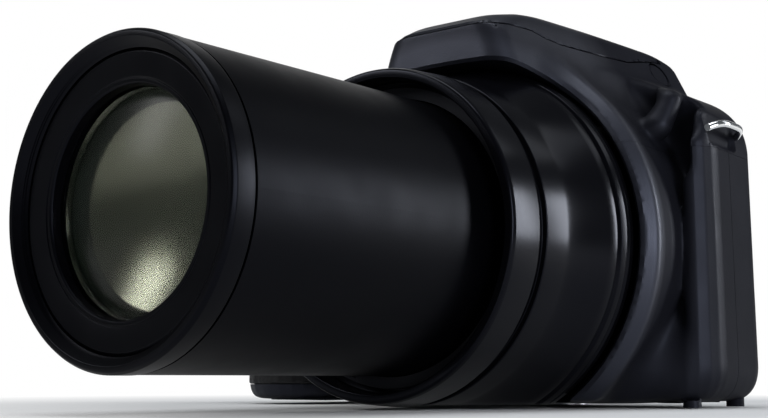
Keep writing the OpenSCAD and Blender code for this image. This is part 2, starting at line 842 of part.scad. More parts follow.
module front_bezel() {
    color(satin_black) lens_turn([
        [filter_r, bezel_y], [bezel_r - 0.8, bezel_y], [bezel_r, bezel_y + 0.8], [bezel_r, bezel_y + 5],
        [tube_r - 0.6, bezel_y + 5.4], [tube_in, bezel_y + 5.4], [tube_in, bezel_y + 6.2],
        [relief_r, bezel_y + 6.2], [relief_r, bezel_y + filter_l], [filter_r, bezel_y + filter_l]]);
}

module name_ring() {
    color("#1d1e22") lens_turn([
        [glass_r, bezel_y + filter_l + 0.9], [glass_r + 0.5, bezel_y + filter_l + 0.6],
        [relief_r, bezel_y + filter_l + 0.1], [relief_r, bezel_y + 6.2], [tube_in, bezel_y + 6.2], [tube_in, bezel_y + 10],
        [glass_r + 2, bezel_y + 10], [glass_r + 2, bezel_y + 7], [glass_r, bezel_y + 5]]);
}

module front_element() {
    color("#3f5a4c", 0.5) difference() {
        element(glass_r + 2, bezel_y + 7.05, bezel_y + 9.95, 4.3, 0.6);
        lens_tube(glass_r - 0.05, glass_r + 5, bezel_y - 5, bezel_y + 7);
    }
}

module second_element() {
    color("#54405f", 0.5) element(glass_r + 3.5, bezel_y + 12, bezel_y + 15, -1.2, 1.6);
}

module cam_barrel() {
    lead = zoom_travel / cam_turn;
    steps = 20;
    over = 6;
    color("#2e3036") difference() {
        union() {
            lens_tube(cam_in, cam_r, cam_y0, cam_y1);
            cam_gear();
        }
        for (a = [0, 120, 240]) cam_groove(a, lead, steps, over);
    }
}

// Helical groove inside the cam barrel, one closed skin from ring to ring
module cam_groove(a0, lead, steps, over) {
    half = cam_pin_r + 0.25;
    loft([for (i = [0:steps])
        let (y = pin_y - over + (zoom_travel + 2 * over - 3) * i / steps,
             a = a0 + (y - pin_y) / lead * -1,
             d = half / cos(atan(1 / (lead * 180 / PI / groove_r))))
        [for (q = [[cam_in - 1.2, -d], [cam_in - 1.2, d], [groove_r, d], [groove_r, -d]])
            [q[0] * cos(a), y + q[1], lens_z + q[0] * sin(a)]]]);
}

module cam_gear() {
    spur(cam_teeth, cam_in + 1, gear_y0, gear_y0 + gear_w, 0, lens_z, 0);
}

// Ring or gear with straight-flanked teeth, along the lens axis
module spur(teeth, bore, y0, y1, x, z, phase) {
    pitch = tooth_m * teeth / 2;
    pts = [for (i = [0:teeth - 1], k = [0:3])
        let (a = 360 / teeth * (i + [-0.33, -0.13, 0.13, 0.33][k]) + phase,
             r = (k == 0 || k == 3) ? pitch - 1.15 * tooth_m : pitch + 0.85 * tooth_m)
        [r * cos(a), -r * sin(a)]];
    translate([x, y0, z]) rotate([-90, 0, 0]) difference() {
        linear_extrude(y1 - y0) polygon(pts);
        translate([0, 0, -1]) cylinder(r = bore, h = y1 - y0 + 2);
    }
}

module zoom_gear() {
    phase = pinion_a + 180 + 180 / pinion_teeth;
    color("#d8d2bd") spur(pinion_teeth, 0.75 + run, gear_y0, gear_y0 + gear_w, pinion_x, pinion_z, phase);
}

module variator_frame() {
    color("#26272c") carriage(variator_y, 7, 17, 12, 14.5);
}

module variator_lens() {
    color("#8fb0c8", 0.5) element(14.45, variator_y + 1, variator_y + 5.5, -0.8, -1.2);
}

module focus_frame() {
    color("#26272c") union() {
        carriage(focus_y, 5, 13, 9, 11);
        // Coil that rides beside the magnet bar
        translate([0, focus_y + 0.5, lens_z]) rotate([0, 180, 0])
            translate([12.5, 0, -3.6]) cube([stator_x - 12.5 - 0.4, 4, 7.2]);
    }
}

module focus_lens() {
    color("#8fb0c8", 0.5) element(10.95, focus_y + 1, focus_y + 3.4, -0.3, 0.9);
}

// Flash
module flash_lid() {
    color(body_black) difference() {
        union() {
            difference() {
                intersection() {
                    hump(0);
                    above(lid_z);
                    lid_end();
                }
                intersection() {
                    hump(lid_skin);
                    block(-big, big, hump_y0 + lid_skin, hinge_y - lid_skin - 2, -big, big);
                }
            }
            // Flash head under the front of the lid
            block(-head_w, head_w, hump_y0 + 3.2, hump_y0 + 13, flash_floor + 0.5, lid_z + 2.2);
            // Ribs that stiffen the lid back to its hinge
            for (x = [-head_w, head_w - 1.2])
                intersection() {
                    block(x, x + 1.2, hump_y0 + 12, hinge_y - 2, lid_z, crest_z - 2.5);
                    hump(lid_skin / 2);
                }
        }
        block(-flash_w, flash_w, hump_y0 + 3, hump_y0 + 9, flash_floor + 1.3, lid_z + 0.8);
        for (s = [-1, 1])
            block(s > 0 ? ear_x - gap : -ear_x - ear_t - gap, s > 0 ? ear_x + ear_t + gap : -ear_x + gap,
                  hinge_y - 2.4, hinge_y + 5, lid_z - 2, crest_z + 5);
        rod_x(hinge_y, hinge_z, pin_r, -ear_x - ear_t - 3, ear_x + ear_t + 3);
    }
}

// Everything in front of the lid's rounded rear end
module lid_end() {
    side_prism(concat(
        [[hump_y0 - 5, lid_z - 5], [hinge_y + knuckle_r - lid_heel, lid_z - 5]],
        [[hinge_y + knuckle_r - lid_heel, lid_z], [hinge_y + knuckle_r, lid_z + lid_heel]],
        [for (a = [0:15:90]) [hinge_y + knuckle_r * cos(a), hinge_z + knuckle_r * sin(a)]],
        [[hinge_y, crest_z + 5], [hump_y0 - 5, crest_z + 5]]), -big, big);
}

module flash_window() {
    color("#dfe3e6", 0.5) difference() {
        block(-flash_w, flash_w, hump_y0 + 3.2, hump_y0 + 4.4, flash_floor + 1.3, lid_z + 0.8);
        for (i = [-5:5])
            block(i * 2.2 - 0.3, i * 2.2 + 0.3, hump_y0 + 3.9, hump_y0 + 5, flash_floor + 1.7, lid_z + 0.4);
    }
}

module flash_tube() {
    color("#e8e4d8", 0.6) rod_x(hump_y0 + 7.2, (flash_floor + lid_z) / 2 + 1.05, 1.4, -flash_w, flash_w);
}

module flash_pin() {
    color("silver") rod_x(hinge_y, hinge_z, pin_r, -ear_x - ear_t - 3, ear_x + ear_t + 3);
}

module flash_button() {
    color(satin_black) intersection() {
        rod_x(flash_key_y, flash_key_z, flash_key_r, plate_w + 4.5, plate_w + 23.5);
        hump(0.2);
    }
}

// Controls on the deck
module mode_dial() {
    ribs = 40;
    color(satin_black) union() {
        difference() {
            rod_z(dial_x, dial_y, dial_r - 0.4, deck_z - 0.6, deck_z + dial_h);
            rod_z(dial_x, dial_y, dial_r - 1.8, deck_z + dial_h - 0.4, deck_z + dial_h + 1);
        }
        translate([dial_x, dial_y, deck_z + 0.2]) linear_extrude(dial_h - 0.6) polygon(
            [for (i = [0:ribs - 1], k = [0:1])
                let (a = 360 * (i + k / 2) / ribs) (dial_r - 0.6 * k) * [cos(a), sin(a)]]);
        rod_z(dial_x, dial_y, 3, deck_in - 3, deck_z - 0.6 + eps);
    }
}

module zoom_lever() {
    color(satin_black) shutter_frame() difference() {
        union() {
            translate([0, 0, gap]) cylinder(r = lever_r, h = 3.4);
            translate([0, 0, -4]) cylinder(r = lever_r - 2.5, h = 4.3 + eps);
            // Finger tab
            translate([0, 0, gap]) hull() {
                translate([0, -lever_r + 2, 0]) cylinder(r = 4, h = 4.2, $fn = 32);
                translate([0, -lever_r - 0.6, 0]) cylinder(r = 2.4, h = 4.6, $fn = 32);
            }
        }
        translate([0, 0, -5]) cylinder(r = shutter_r + gap, h = 12);
    }
}

module shutter_button() {
    color("#2a2b30") shutter_frame() difference() {
        translate([0, 0, -4]) cylinder(r = shutter_r, h = 8.2);
        translate([0, 0, 4.2 + 16.6]) sphere(r = 17);
    }
}

module power_switch() {
    color(satin_black) union() {
        block(power_x - 4.6, power_x - 0.6, power_y - 2, power_y + 2, deck_in - 0.8, deck_z + 0.4);
        for (i = [0:3])
            block(power_x - 4.3 + i, power_x - 3.8 + i, power_y - 2, power_y + 2, deck_z + 0.4 - eps, deck_z + 1);
    }
}

module record_button() {
    color("#7c1418") rod_z(record_x, record_y, 3, deck_in - 1, deck_z + 0.6);
}

module rear_dial() {
    ribs = 30;
    color(satin_black) union() {
        translate([thumb_x, rear_y - 5, thumb_z - 2.2]) linear_extrude(4.4) polygon(
            [for (i = [0:ribs - 1], k = [0:1])
                let (a = 360 * (i + k / 2) / ribs) (thumb_r - 0.4 * k) * [cos(a), sin(a)]]);
        rod_z(thumb_x, rear_y - 5, 1, thumb_z - 3.5, thumb_z + 3.5);
    }
}

module rear_key(x, z, r, proud) {
    rod_y(x, z, r, rear_y - key_back, rear_y + proud);
}

module finder_key() {
    color("#2a2b30") rear_key(finder_key_x, rear_key_z, 2.6, 0.5);
}

module lock_key() {
    color("#2a2b30") rear_key(lock_x, rear_key_z, 2.6, 0.5);
}

module play_key() {
    color("#2a2b30") rear_key(play_x, play_z, 3, 0.6);
}

module set_key() {
    color("#2a2b30") rear_key(pad_x, pad_z, 4.6, 0.8);
}

// Two pins that the cursor pad rocks on
module pad_pins(e, extra) {
    for (s = [-1, 1])
        rod_x(rear_y - wall / 2, pad_z, pad_pin_r + e,
              pad_x + (s > 0 ? pad_r - 1 : -pad_r - pad_pin_l - extra),
              pad_x + (s > 0 ? pad_r + pad_pin_l + extra : 1 - pad_r));
}

module cursor_pad() {
    color("#24252a") difference() {
        union() {
            rod_y(pad_x, pad_z, pad_r, rear_y - key_back, rear_y + 0.7);
            pad_pins(0, 0);
        }
        rod_y(pad_x, pad_z, 4.6 + gap, rear_y - 10, rear_y + 5);
    }
}

// Viewfinder
module finder_unit() {
    color("#33353b") difference() {
        block(-10, 10, -14, rear_y - 1.9, finder_z - 4.4, under_deck);
        block(-8, 8, -8, rear_y + 1, finder_z - 3.2, finder_z + 2.6);
    }
}

module finder_lens() {
    color("#9fb4c4", 0.5) block(-11.4, 11.4, rear_y - 1.6, hump_y1 - wall, finder_z - 4.6, under_deck);
}

module eyecup() {
    outer = [[15.5, finder_z - 7, 5], [15.5, finder_z + 7, 5], [-15.5, finder_z + 7, 5], [-15.5, finder_z - 7, 5]];
    inner = [[11, finder_z - 4.6, 3], [11, finder_z + 4.6, 3], [-11, finder_z + 4.6, 3], [-11, finder_z - 4.6, 3]];
    color("#141519") difference() {
        back_prism(outer, hump_y1, hump_y1 + eyecup_l);
        back_prism(inner, hump_y1 - 1, hump_y1 + eyecup_l + 1);
    }
}

module diopter_dial() {
    ribs = 20;
    color(satin_black) union() {
        translate([-diopter_x, rear_y - 2, finder_z + 5.5]) rotate([0, -90, 0]) linear_extrude(2.4) polygon(
            [for (i = [0:ribs - 1], k = [0:1])
                let (a = 360 * (i + k / 2) / ribs) (diopter_r - 0.3 * k) * [cos(a), sin(a)]]);
        rod_x(rear_y - 2, finder_z + 5.5, 1.2, -diopter_x - eps, -plate_w - 4);
    }
}

// Screen
module lcd_module() {
    color("#3a3c42") block(lcd_x0 - 0.5, lcd_x1 + 0.5, rear_y - wall - lcd_t, lcd_back, lcd_z0 - 1, lcd_z1 + 1);
}

module lcd_window() {
    color("#0a0b0e") block(lcd_x0 + 0.1, lcd_x1 - 0.1, lcd_back, rear_y - 0.3, lcd_z0 + 0.1, lcd_z1 - 0.1);
}

// Battery bay
module battery() {
    color("#4a4b50") block(cell_x, cell_x + cell_t, cell_y1 - cell_w, cell_y1, cell_z0, cell_z0 + cell_h);
}

module card_slot() {
    color("#b8bcc0") difference() {
        union() {
            card_frame();
            // Bracket beside the battery, screwed to the rear wall
            block(cell_x + cell_t + 0.2, card_x - 0.5 + eps, -14, cell_y1, 10, 36);
            block(cell_x + cell_t + 0.2, card_x - 0.5, card_y1 - 4, rear_y - wall, 6, 15);
        }
        block(card_x - 0.1, card_x + card_t + 0.1, card_y1 - card_w - 0.1, card_y1 + 0.1, cell_z0 - 1, cell_z0 + card_h + 0.1);
    }
}

module card_frame() {
    block(card_x - 0.5, card_x + card_t + 0.7, card_y1 - card_w - 0.6, card_y1 + 0.6,
          cell_z0 + 3, cell_z0 + card_h + 1);
}

module memory_card() {
    color("#1f2a44") block(card_x, card_x + card_t, card_y1 - card_w, card_y1, cell_z0, cell_z0 + card_h);
}

module battery_door() {
    color(body_black) difference() {
        union() {
            translate([0, 0, base_z]) linear_extrude(door_t) intersection() {
                polygon(door_points(0));
                translate([-big, -big]) square([2 * big, big + door_y1]);
            }
            rod_x(door_y1, door_pin_z, door_barrel, door_x0, door_x1);
            rod_x(door_y1, door_pin_z, door_pin_r, door_x0 - door_pin_l, door_x1 + door_pin_l);
        }
        latch_slot(0, latch_travel, 1);
    }
}

// Track of the latch in the door's underside
module latch_slot(e, extra, depth) {
    x = (door_x0 + door_x2) / 2;
    block(x - 3 + e, x + 3 - e, door_y0 + 2 + e, door_y0 + 2 + latch_l + extra - e,
          e > 0 ? base_z + 0.1 : base_z - 1, base_z + depth);
}

module door_latch() {
    color("#2a2b30") difference() {
        latch_slot(0.15, 0, 0.85);
        for (i = [1:4])
            block(-big, big, door_y0 + 3 + 2 * i, door_y0 + 3.8 + 2 * i, base_z - 1, base_z + 0.4);
    }
}

module side_door() {
    color(body_black) union() {
        block(-grip_w, -grip_w + 1.6, port_hinge, port_y1 - gap, port_z0 + gap, port_z1 - gap);
        rod_z(-grip_w + port_barrel, port_hinge, port_barrel, port_z0 + gap, port_z1 - gap);
        rod_z(-grip_w + port_barrel, port_hinge, 0.5, port_z0 - 0.8, port_z1 + 0.8);
    }
}

module side_sockets() {
    x = -grip_w + wall;
    color("silver") difference() {
        union() {
            // Panel behind the opening, against the inside of the cover
            block(x, x + 0.6, port_y0 - 1, port_y1 + 1, port_z0 - 0.8, port_z1 + 0.6);
            for (y = [port_y0 + 3.6, port_y0 + 11])
                block(x + 0.6 - eps, x + 8, y, y + 6.4, port_z0 + 1.8, port_z1 - 1.8);
        }
        for (y = [port_y0 + 3.6, port_y0 + 11])
            block(x - 1, x + 6, y + 0.5, y + 5.9, port_mid - 1.5, port_mid + 1.5);
    }
}

// Fastening
module tripod_bush() {
    color("#b9bcc2") difference() {
        union() {
            rod_z(0, 0, bush_r, 0, socket_l + 2);
            rod_z(0, 0, bush_r + bush_lip, floor_z, floor_z + 1.4);
        }
        rod_z(0, 0, socket_r, -1, socket_l);
    }
}

module strap_bars() {
    color("silver")
        for (s = [[left_w, 1], [-grip_w, -1]])
            strap_bar(s[0], s[1]);
}

// Bent wire: a bar along Y on two legs that stand in the pocket's floor
module strap_bar(x, side) {
    half = strap_l / 2 - strap_r - gap;
    bar = x + side * strap_proud;
    foot = x - side * strap_depth;
    union() {
        rod_y(bar, strap_z, strap_r, strap_y - half - strap_r, strap_y + half + strap_r);
        for (y = [strap_y - half, strap_y + half])
            rod_x(y, strap_z, strap_r - 0.1, min(bar, foot), max(bar, foot));
    }
}

module case_screws() {
    color("#55585f") for (s = screw_spots) difference() {
        union() {
            rod_z(s[0], s[1], screw_r, base_z + 1, base_z + 6.2);
            rod_z(s[0], s[1], screw_head, base_z + 0.1, base_z + 1.2);
        }
        block(s[0] - 1.2, s[0] + 1.2, s[1] - 0.25, s[1] + 0.25, base_z - 1, base_z + 0.6);
        block(s[0] - 0.25, s[0] + 0.25, s[1] - 1.2, s[1] + 1.2, base_z - 1, base_z + 0.6);
    }
}

module focus_lamp() {
    color("#a8552a", 0.6) rod_y(lamp_x, lamp_z, lamp_r, recess_y - 0.4, recess_y + wall + 0.5);
}

front_cover();
rear_cover();
top_cover();
grip_rubber();
lens_shroud();
mouth_ring();
lens_base();
guide_barrel();
guide_rods();
iris_unit();
relay_lens();
image_sensor();
main_board();
zoom_motor();
focus_motor();
battery();
memory_card();
card_slot();
tripod_bush();
lcd_module();
lcd_window();
finder_unit();
finder_lens();
eyecup();
strap_bars();
case_screws();
focus_lamp();
side_sockets();
zoom_tube();
front_bezel();
name_ring();
front_element();
second_element();
cam_pins();
cam_barrel();
zoom_gear();
variator_frame();
variator_lens();
focus_frame();
focus_lens();
flash_lid();
flash_window();
flash_tube();
flash_pin();
flash_button();
mode_dial();
zoom_lever();
shutter_button();
power_switch();
record_button();
rear_dial();
diopter_dial();
finder_key();
lock_key();
play_key();
set_key();
cursor_pad();
battery_door();
door_latch();
side_door();
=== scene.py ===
import math
import bmesh
import bpy
import numpy as np
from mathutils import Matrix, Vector


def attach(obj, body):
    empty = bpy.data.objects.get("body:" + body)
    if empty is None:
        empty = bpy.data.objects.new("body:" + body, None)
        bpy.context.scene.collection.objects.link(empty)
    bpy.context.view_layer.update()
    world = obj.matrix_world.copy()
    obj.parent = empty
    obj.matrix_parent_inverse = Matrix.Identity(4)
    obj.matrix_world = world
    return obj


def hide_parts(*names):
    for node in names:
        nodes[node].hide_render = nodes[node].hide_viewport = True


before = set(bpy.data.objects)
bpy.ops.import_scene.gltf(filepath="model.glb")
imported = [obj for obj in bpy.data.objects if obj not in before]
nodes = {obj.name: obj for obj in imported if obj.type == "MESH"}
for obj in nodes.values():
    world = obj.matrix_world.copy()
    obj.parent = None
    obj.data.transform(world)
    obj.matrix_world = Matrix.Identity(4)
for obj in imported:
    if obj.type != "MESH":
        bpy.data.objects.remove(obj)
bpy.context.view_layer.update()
MM = 0.001
LENS_Z = 36.9


def point_at(obj, at, aim):
    """Put a camera or lamp at one point, turned to another."""
    obj.location = at
    obj.rotation_euler = (Vector(aim) - Vector(at)).to_track_quat("-Z", "Y").to_euler()
    bpy.context.collection.objects.link(obj)


# Camera at the photograph's angle
EYE = Vector((175.29, -288.25, 6.30)) * MM
AIM = Vector((3.34, -77.0, 42.07)) * MM
SENSOR_WIDTH = 36.0
FOCAL_LENGTH = 60.77
NEAREST = 0.01
cam_data = bpy.data.cameras.new("view")
cam_data.sensor_width = SENSOR_WIDTH
cam_data.lens = FOCAL_LENGTH
cam_data.clip_start = NEAREST
camera = bpy.data.objects.new("view", cam_data)
point_at(camera, EYE, AIM)
bpy.context.scene.camera = camera
bpy.context.scene.view_settings.view_transform = "Standard"


# Small helpers for nodes
def math_node(tree, op, a, b):
    """Math node on two outputs."""
    m = tree.nodes.new("ShaderNodeMath")
    m.operation = op
    tree.links.new(a, m.inputs[0])
    tree.links.new(b, m.inputs[1])
    return m.outputs[0]


def remap(tree, value, source=(0.0, 1.0), target=(0.0, 1.0)):
    """An output mapped from one span to another; an end of the target may be an output too."""
    n = tree.nodes.new("ShaderNodeMapRange")
    n.inputs["From Min"].default_value, n.inputs["From Max"].default_value = source
    for key, end in zip(("To Min", "To Max"), target):
        if isinstance(end, float):
            n.inputs[key].default_value = end
        else:
            tree.links.new(end, n.inputs[key])
    tree.links.new(value, n.inputs["Value"])
    return n.outputs["Result"]


class Shader:
    """One material with a Principled shader and a few node shortcuts."""

    def __init__(self, name, color, rough, **sockets):
        self.mat = bpy.data.materials.new(name)
        self.mat.use_nodes = True
        self.tree = self.mat.node_tree
        self.bsdf = self.tree.nodes["Principled BSDF"]
        self.bsdf.inputs["Base Color"].default_value = (*color, 1.0)
        self.bsdf.inputs["Roughness"].default_value = rough
        for key, value in sockets.items():
            self.bsdf.inputs[key.replace("_", " ")].default_value = value

    def node(self, kind, **values):
        n = self.tree.nodes.new(kind)
        for key, value in values.items():
            if key in n.inputs:
                n.inputs[key].default_value = value
            else:
                setattr(n, key, value)
        return n

    def link(self, a, b):
        self.tree.links.new(a, b)

    def place(self):
        """Object coordinates, so the grain sits still on the piece."""
        return self.node("ShaderNodeTexCoord").outputs["Object"]

    def noise(self, scale, detail):
        n = self.node("ShaderNodeTexNoise", Scale=scale, Detail=detail)
        self.link(self.place(), n.inputs["Vector"])
        return n.outputs["Fac"]

    def rough_between(self, value, low, high):
        self.link(remap(self.tree, value, target=(low, high)), self.bsdf.inputs["Roughness"])

    def bump(self, value, height, strength=1.0):
        b = self.node("ShaderNodeBump", Strength=strength, Distance=height)
        self.link(value, b.inputs["Height"])
        self.link(b.outputs["Normal"], self.bsdf.inputs["Normal"])

    def tint(self, value, color, share):
        """Colour that goes up and down by a share of itself."""
        m = self.node("ShaderNodeMix", data_type="RGBA")
        m.inputs[6].default_value = (*(c * (1 - share) for c in color), 1.0)
        m.inputs[7].default_value = (*(c * (1 + share) for c in color), 1.0)
        self.link(value, m.inputs[0])
        self.link(m.outputs[2], self.bsdf.inputs["Base Color"])


# Noise scales per metre, noise detail, spread of roughness (added or multiplied), of tone, and gloss tints
TONE, COAT_TONE, PATCH, FILM, WAVE, SCRATCH = 60.0, 40.0, 140.0, 90.0, 45.0, 900.0
PLAIN, FINE, FULL = 1.0, 2.0, 3.0
PLASTIC_ADDED, RUBBER_ADDED = (-0.05, 0.07), (-0.08, 0.1)
POLISH_TIMES, METAL_TIMES, GLASS_TIMES, COAT_TIMES = (0.85, 1.2), (0.6, 1.6), (1.0, 1.3), (1.0, 1.15)
PLASTIC_TONE, COAT_SHARE = 0.35, 0.2
COOL = (0.72, 0.77, 1.0, 1.0)
OLIVE = (1.0, 1.0, 0.88, 1.0)


def moulded(name, color, rough, grain, height, spec=0.3):
    """Fine-grain moulded plastic."""
    s = Shader(name, color, rough, Specular_IOR_Level=spec, Specular_Tint=COOL)
    s.rough_between(s.noise(PATCH, FINE), *(rough + v for v in PLASTIC_ADDED))
    s.bump(s.noise(grain, FULL), height)
    s.tint(s.noise(TONE, FINE), color, PLASTIC_TONE)
    return s


def polished(name, color, rough, spec):
    """Glossy moulded plastic with a faint waviness."""
    s = Shader(name, color, rough, Specular_IOR_Level=spec, Specular_Tint=COOL)
    s.rough_between(s.noise(FILM, FULL), *(rough * v for v in POLISH_TIMES))
    s.bump(s.noise(WAVE, PLAIN), height=0.00002, strength=0.3)
    return s


def metal(name, color, rough):
    """Bare or plated metal with fine scratches."""
    s = Shader(name, color, rough, Metallic=1.0)
    s.rough_between(s.noise(SCRATCH, FINE), *(rough * v for v in METAL_TIMES))
    s.bump(s.noise(SCRATCH, FINE), height=0.00001, strength=0.4)
    return s


def lens_glass(name, color, ior=1.52, rough=0.01):
    """Clear glass or clear plastic."""
    s = Shader(name, color, rough, IOR=ior, Transmission_Weight=1.0)
    s.rough_between(s.noise(TONE, PLAIN), *(rough * v for v in GLASS_TIMES))
    return s


def lens_coat(name, color, rough, spec):
    """Coated inner element, seen as an olive mirror."""
    s = Shader(name, color, rough, Specular_IOR_Level=spec, Specular_Tint=OLIVE)
    s.rough_between(s.noise(TONE, PLAIN), *(rough * v for v in COAT_TIMES))
    s.tint(s.noise(COAT_TONE, PLAIN), color, COAT_SHARE)
    return s


def rubber(name, color, rough, grain, height, spec=0.25):
    """Rubber with a pebbled grain."""
    s = Shader(name, color, rough, Specular_IOR_Level=spec)
    v = s.node("ShaderNodeTexVoronoi", Scale=grain, feature="SMOOTH_F1")
    s.link(s.place(), v.inputs["Vector"])
    s.bump(v.outputs["Distance"], height)
    s.rough_between(v.outputs["Distance"], *(rough + d for d in RUBBER_ADDED))
    return s


# Gloss of the covers: on the collar and off it by radius, and along the camera by y, in metres
COLLAR_RADII = (0.0462, 0.0490)
LIP_Y, LIP_GLOSS = (-0.0355, -0.0320), (0.60, 0.10)
BODY_Y, BODY_GLOSS = (-0.0265, -0.0155), (0.30, 0.03)


def cover_plastic():
    """Matt cover plastic that is satin on the collar's lip and on the front."""
    s = moulded("cover_black", (0.0078, 0.0081, 0.0112), rough=0.45, grain=2600.0, height=0.00003, spec=0.25)
    arm = s.node("ShaderNodeVectorMath", operation="MULTIPLY_ADD")
    arm.inputs[1].default_value = (1.0, 0.0, 1.0)
    arm.inputs[2].default_value = (0.0, 0.0, -LENS_Z * MM)
    s.link(s.place(), arm.inputs[0])
    radius = s.node("ShaderNodeVectorMath", operation="LENGTH")
    s.link(arm.outputs["Vector"], radius.inputs[0])
    along = s.node("ShaderNodeSeparateXYZ")
    s.link(s.place(), along.inputs["Vector"])
    lip = remap(s.tree, along.outputs["Y"], LIP_Y, LIP_GLOSS)
    body = remap(s.tree, along.outputs["Y"], BODY_Y, BODY_GLOSS)
    gloss = remap(s.tree, radius.outputs["Value"], COLLAR_RADII, (lip, body))
    s.link(gloss, s.bsdf.inputs["Specular IOR Level"])
    return s


COVER = cover_plastic()
TUBE = moulded("tube_black", (0.0006, 0.0006, 0.0010), rough=0.40, grain=3800.0, height=0.000018, spec=0.06)
RIM = moulded("rim_black", (0.0006, 0.0006, 0.0010), rough=0.34, grain=3600.0, height=0.00001, spec=0.08)
GLOSS = polished("gloss_black", (0.0018, 0.0018, 0.0026), rough=0.22, spec=0.11)
CONTROL = moulded("control_black", (0.0060, 0.0060, 0.0076), rough=0.3, grain=3000.0, height=0.00001)
GRIP = rubber("grip_grain", (0.0075, 0.0075, 0.0085), rough=0.5, grain=1100.0, height=0.00016)
CUP = rubber("cup_rubber", (0.0070, 0.0070, 0.0078), rough=0.6, grain=3000.0, height=0.00003)
SCREEN = polished("screen_black", (0.004, 0.004, 0.006), rough=0.04, spec=0.5)
INNER = moulded("inner_black", (0.012, 0.012, 0.013), rough=0.6, grain=1500.0, height=0.00002, spec=0.15)
GEAR = moulded("gear_white", (0.62, 0.6, 0.52), rough=0.4, grain=1500.0, height=0.00001)
BOARD = moulded("board_green", (0.03, 0.13, 0.07), rough=0.5, grain=900.0, height=0.00003)
CELL = moulded("cell_grey", (0.06, 0.06, 0.065), rough=0.5, grain=2000.0, height=0.00002)
RED = moulded("record_red", (0.30, 0.012, 0.016), rough=0.32, grain=2500.0, height=0.00001, spec=0.4)
CHROME = metal("plated", (0.78, 0.79, 0.80), rough=0.14)
STEEL = metal("steel", (0.48, 0.49, 0.51), rough=0.32)
ALLOY = metal("alloy", (0.62, 0.63, 0.65), rough=0.28)
FRONT_GLASS = lens_glass("front_glass", (0.93, 0.95, 0.87), ior=1.16, rough=0.22)
SECOND_GLASS = lens_coat("second_glass", (0.024, 0.027, 0.020), rough=0.20, spec=0.95)
CELL_RING = moulded("cell_ring", (0.010, 0.014, 0.010), rough=0.5, grain=1500.0, height=0.00001, spec=0.15)
INNER_GLASS = lens_glass("inner_glass", (0.86, 0.88, 0.95))
CLEAR = lens_glass("clear_window", (0.93, 0.94, 0.95))
LAMP = lens_glass("lamp_tint", (0.85, 0.36, 0.14))

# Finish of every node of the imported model
finish_of = {
    COVER: ["front_cover", "rear_cover", "top_cover", "flash_lid", "battery_door", "side_door"],
    TUBE: ["zoom_tube"],
    RIM: ["front_bezel", "name_ring"],
    GLOSS: ["lens_shroud", "mouth_ring"],
    CONTROL: ["flash_button", "mode_dial", "zoom_lever", "shutter_button", "power_switch", "rear_dial",
              "diopter_dial", "finder_key", "lock_key", "play_key", "set_key", "cursor_pad", "door_latch"],
    GRIP: ["grip_rubber"],
    CUP: ["eyecup"],
    SCREEN: ["lcd_window"],
    INNER: ["lens_base", "guide_barrel", "iris_unit", "lcd_module", "finder_unit", "cam_barrel",
            "variator_frame", "focus_frame"],
    GEAR: ["zoom_gear"],
    BOARD: ["image_sensor", "main_board"],
    CELL: ["battery", "memory_card"],
    RED: ["record_button"],
    CHROME: ["strap_bars"],
    STEEL: ["guide_rods", "zoom_motor", "focus_motor", "card_slot", "case_screws", "side_sockets", "cam_pins",
            "flash_pin"],
    ALLOY: ["tripod_bush"],
    FRONT_GLASS: ["front_element"],
    INNER_GLASS: ["relay_lens", "finder_lens", "second_element", "variator_lens", "focus_lens"],
    CLEAR: ["flash_window", "flash_tube"],
    LAMP: ["focus_lamp"],
}
for finish, names in finish_of.items():
    for name in names:
        mesh = nodes[name].data
        mesh.materials.clear()
        mesh.materials.append(finish.mat)


# Fields: distances in millimetres, below zero inside
def smin(a, b, k):
    """Union with a soft inner corner about k wide."""
    h = np.maximum(k - np.abs(a - b), 0.0) / k
    return np.minimum(a, b) - h * h * k * 0.25


def smax(a, b, k):
    """Intersection with a soft outer edge about k wide."""
    return -smin(-a, -b, k)


def cut(a, b, k=0.0):
    """The first field with the second taken away."""
    return smax(a, -b, k) if k else np.maximum(a, -b)


STRAIGHT = 1.55


def rounded(corners, n=5):
    """Outline through corners (x, y, radius), with n steps in each arc."""
    pts = []
    for i, (cx, cy, r) in enumerate(corners):
        p = np.array((cx, cy), float)
        u = np.array(corners[i - 1][:2]) - p
        v = np.array(corners[(i + 1) % len(corners)][:2]) - p
        u, v = u / np.linalg.norm(u), v / np.linalg.norm(v)
        half = math.acos(np.clip(u @ v, -1.0, 1.0)) / 2
        if r == 0 or half > STRAIGHT:
            pts.append(p)
            continue
        c = p + (u + v) / np.linalg.norm(u + v) * r / math.sin(half)
        a0, a1 = (math.atan2(*(p + w * r / math.tan(half) - c)[::-1]) for w in (u, v))
        da = (a1 - a0 + math.pi) % (2 * math.pi) - math.pi
        for k in range(n + 1):
            a = a0 + da * k / n
            pts.append(c + r * np.array((math.cos(a), math.sin(a))))
    return np.array(pts)


def poly(px, py, pts):
    """Signed distance to a closed outline."""
    near, sign = np.inf, 1.0
    for (ax, ay), (bx, by) in zip(pts, np.roll(pts, 1, axis=0)):
        ex, ey = bx - ax, by - ay
        wx, wy = px - ax, py - ay
        t = np.clip((wx * ex + wy * ey) / (ex * ex + ey * ey), 0.0, 1.0)
        near = np.minimum(near, (wx - ex * t) ** 2 + (wy - ey * t) ** 2)
        up, down, left = py >= ay, py < by, ex * wy > ey * wx
        sign = np.where((up & down & left) | ~(up | down | left), -sign, sign)
    return sign * np.sqrt(near)


def box(x, y, z, lo, hi, r=0.0):
    """Box between two corners, with edges of radius r."""
    q = [np.abs(p - (a + b) / 2) - (b - a) / 2 + r for p, a, b in zip((x, y, z), lo, hi)]
    most = np.maximum(np.maximum(q[0], q[1]), q[2])
    if r == 0.0:
        return most
    out = np.sqrt(sum(np.maximum(v, 0.0) ** 2 for v in q))
    return out + np.minimum(most, 0.0) - r


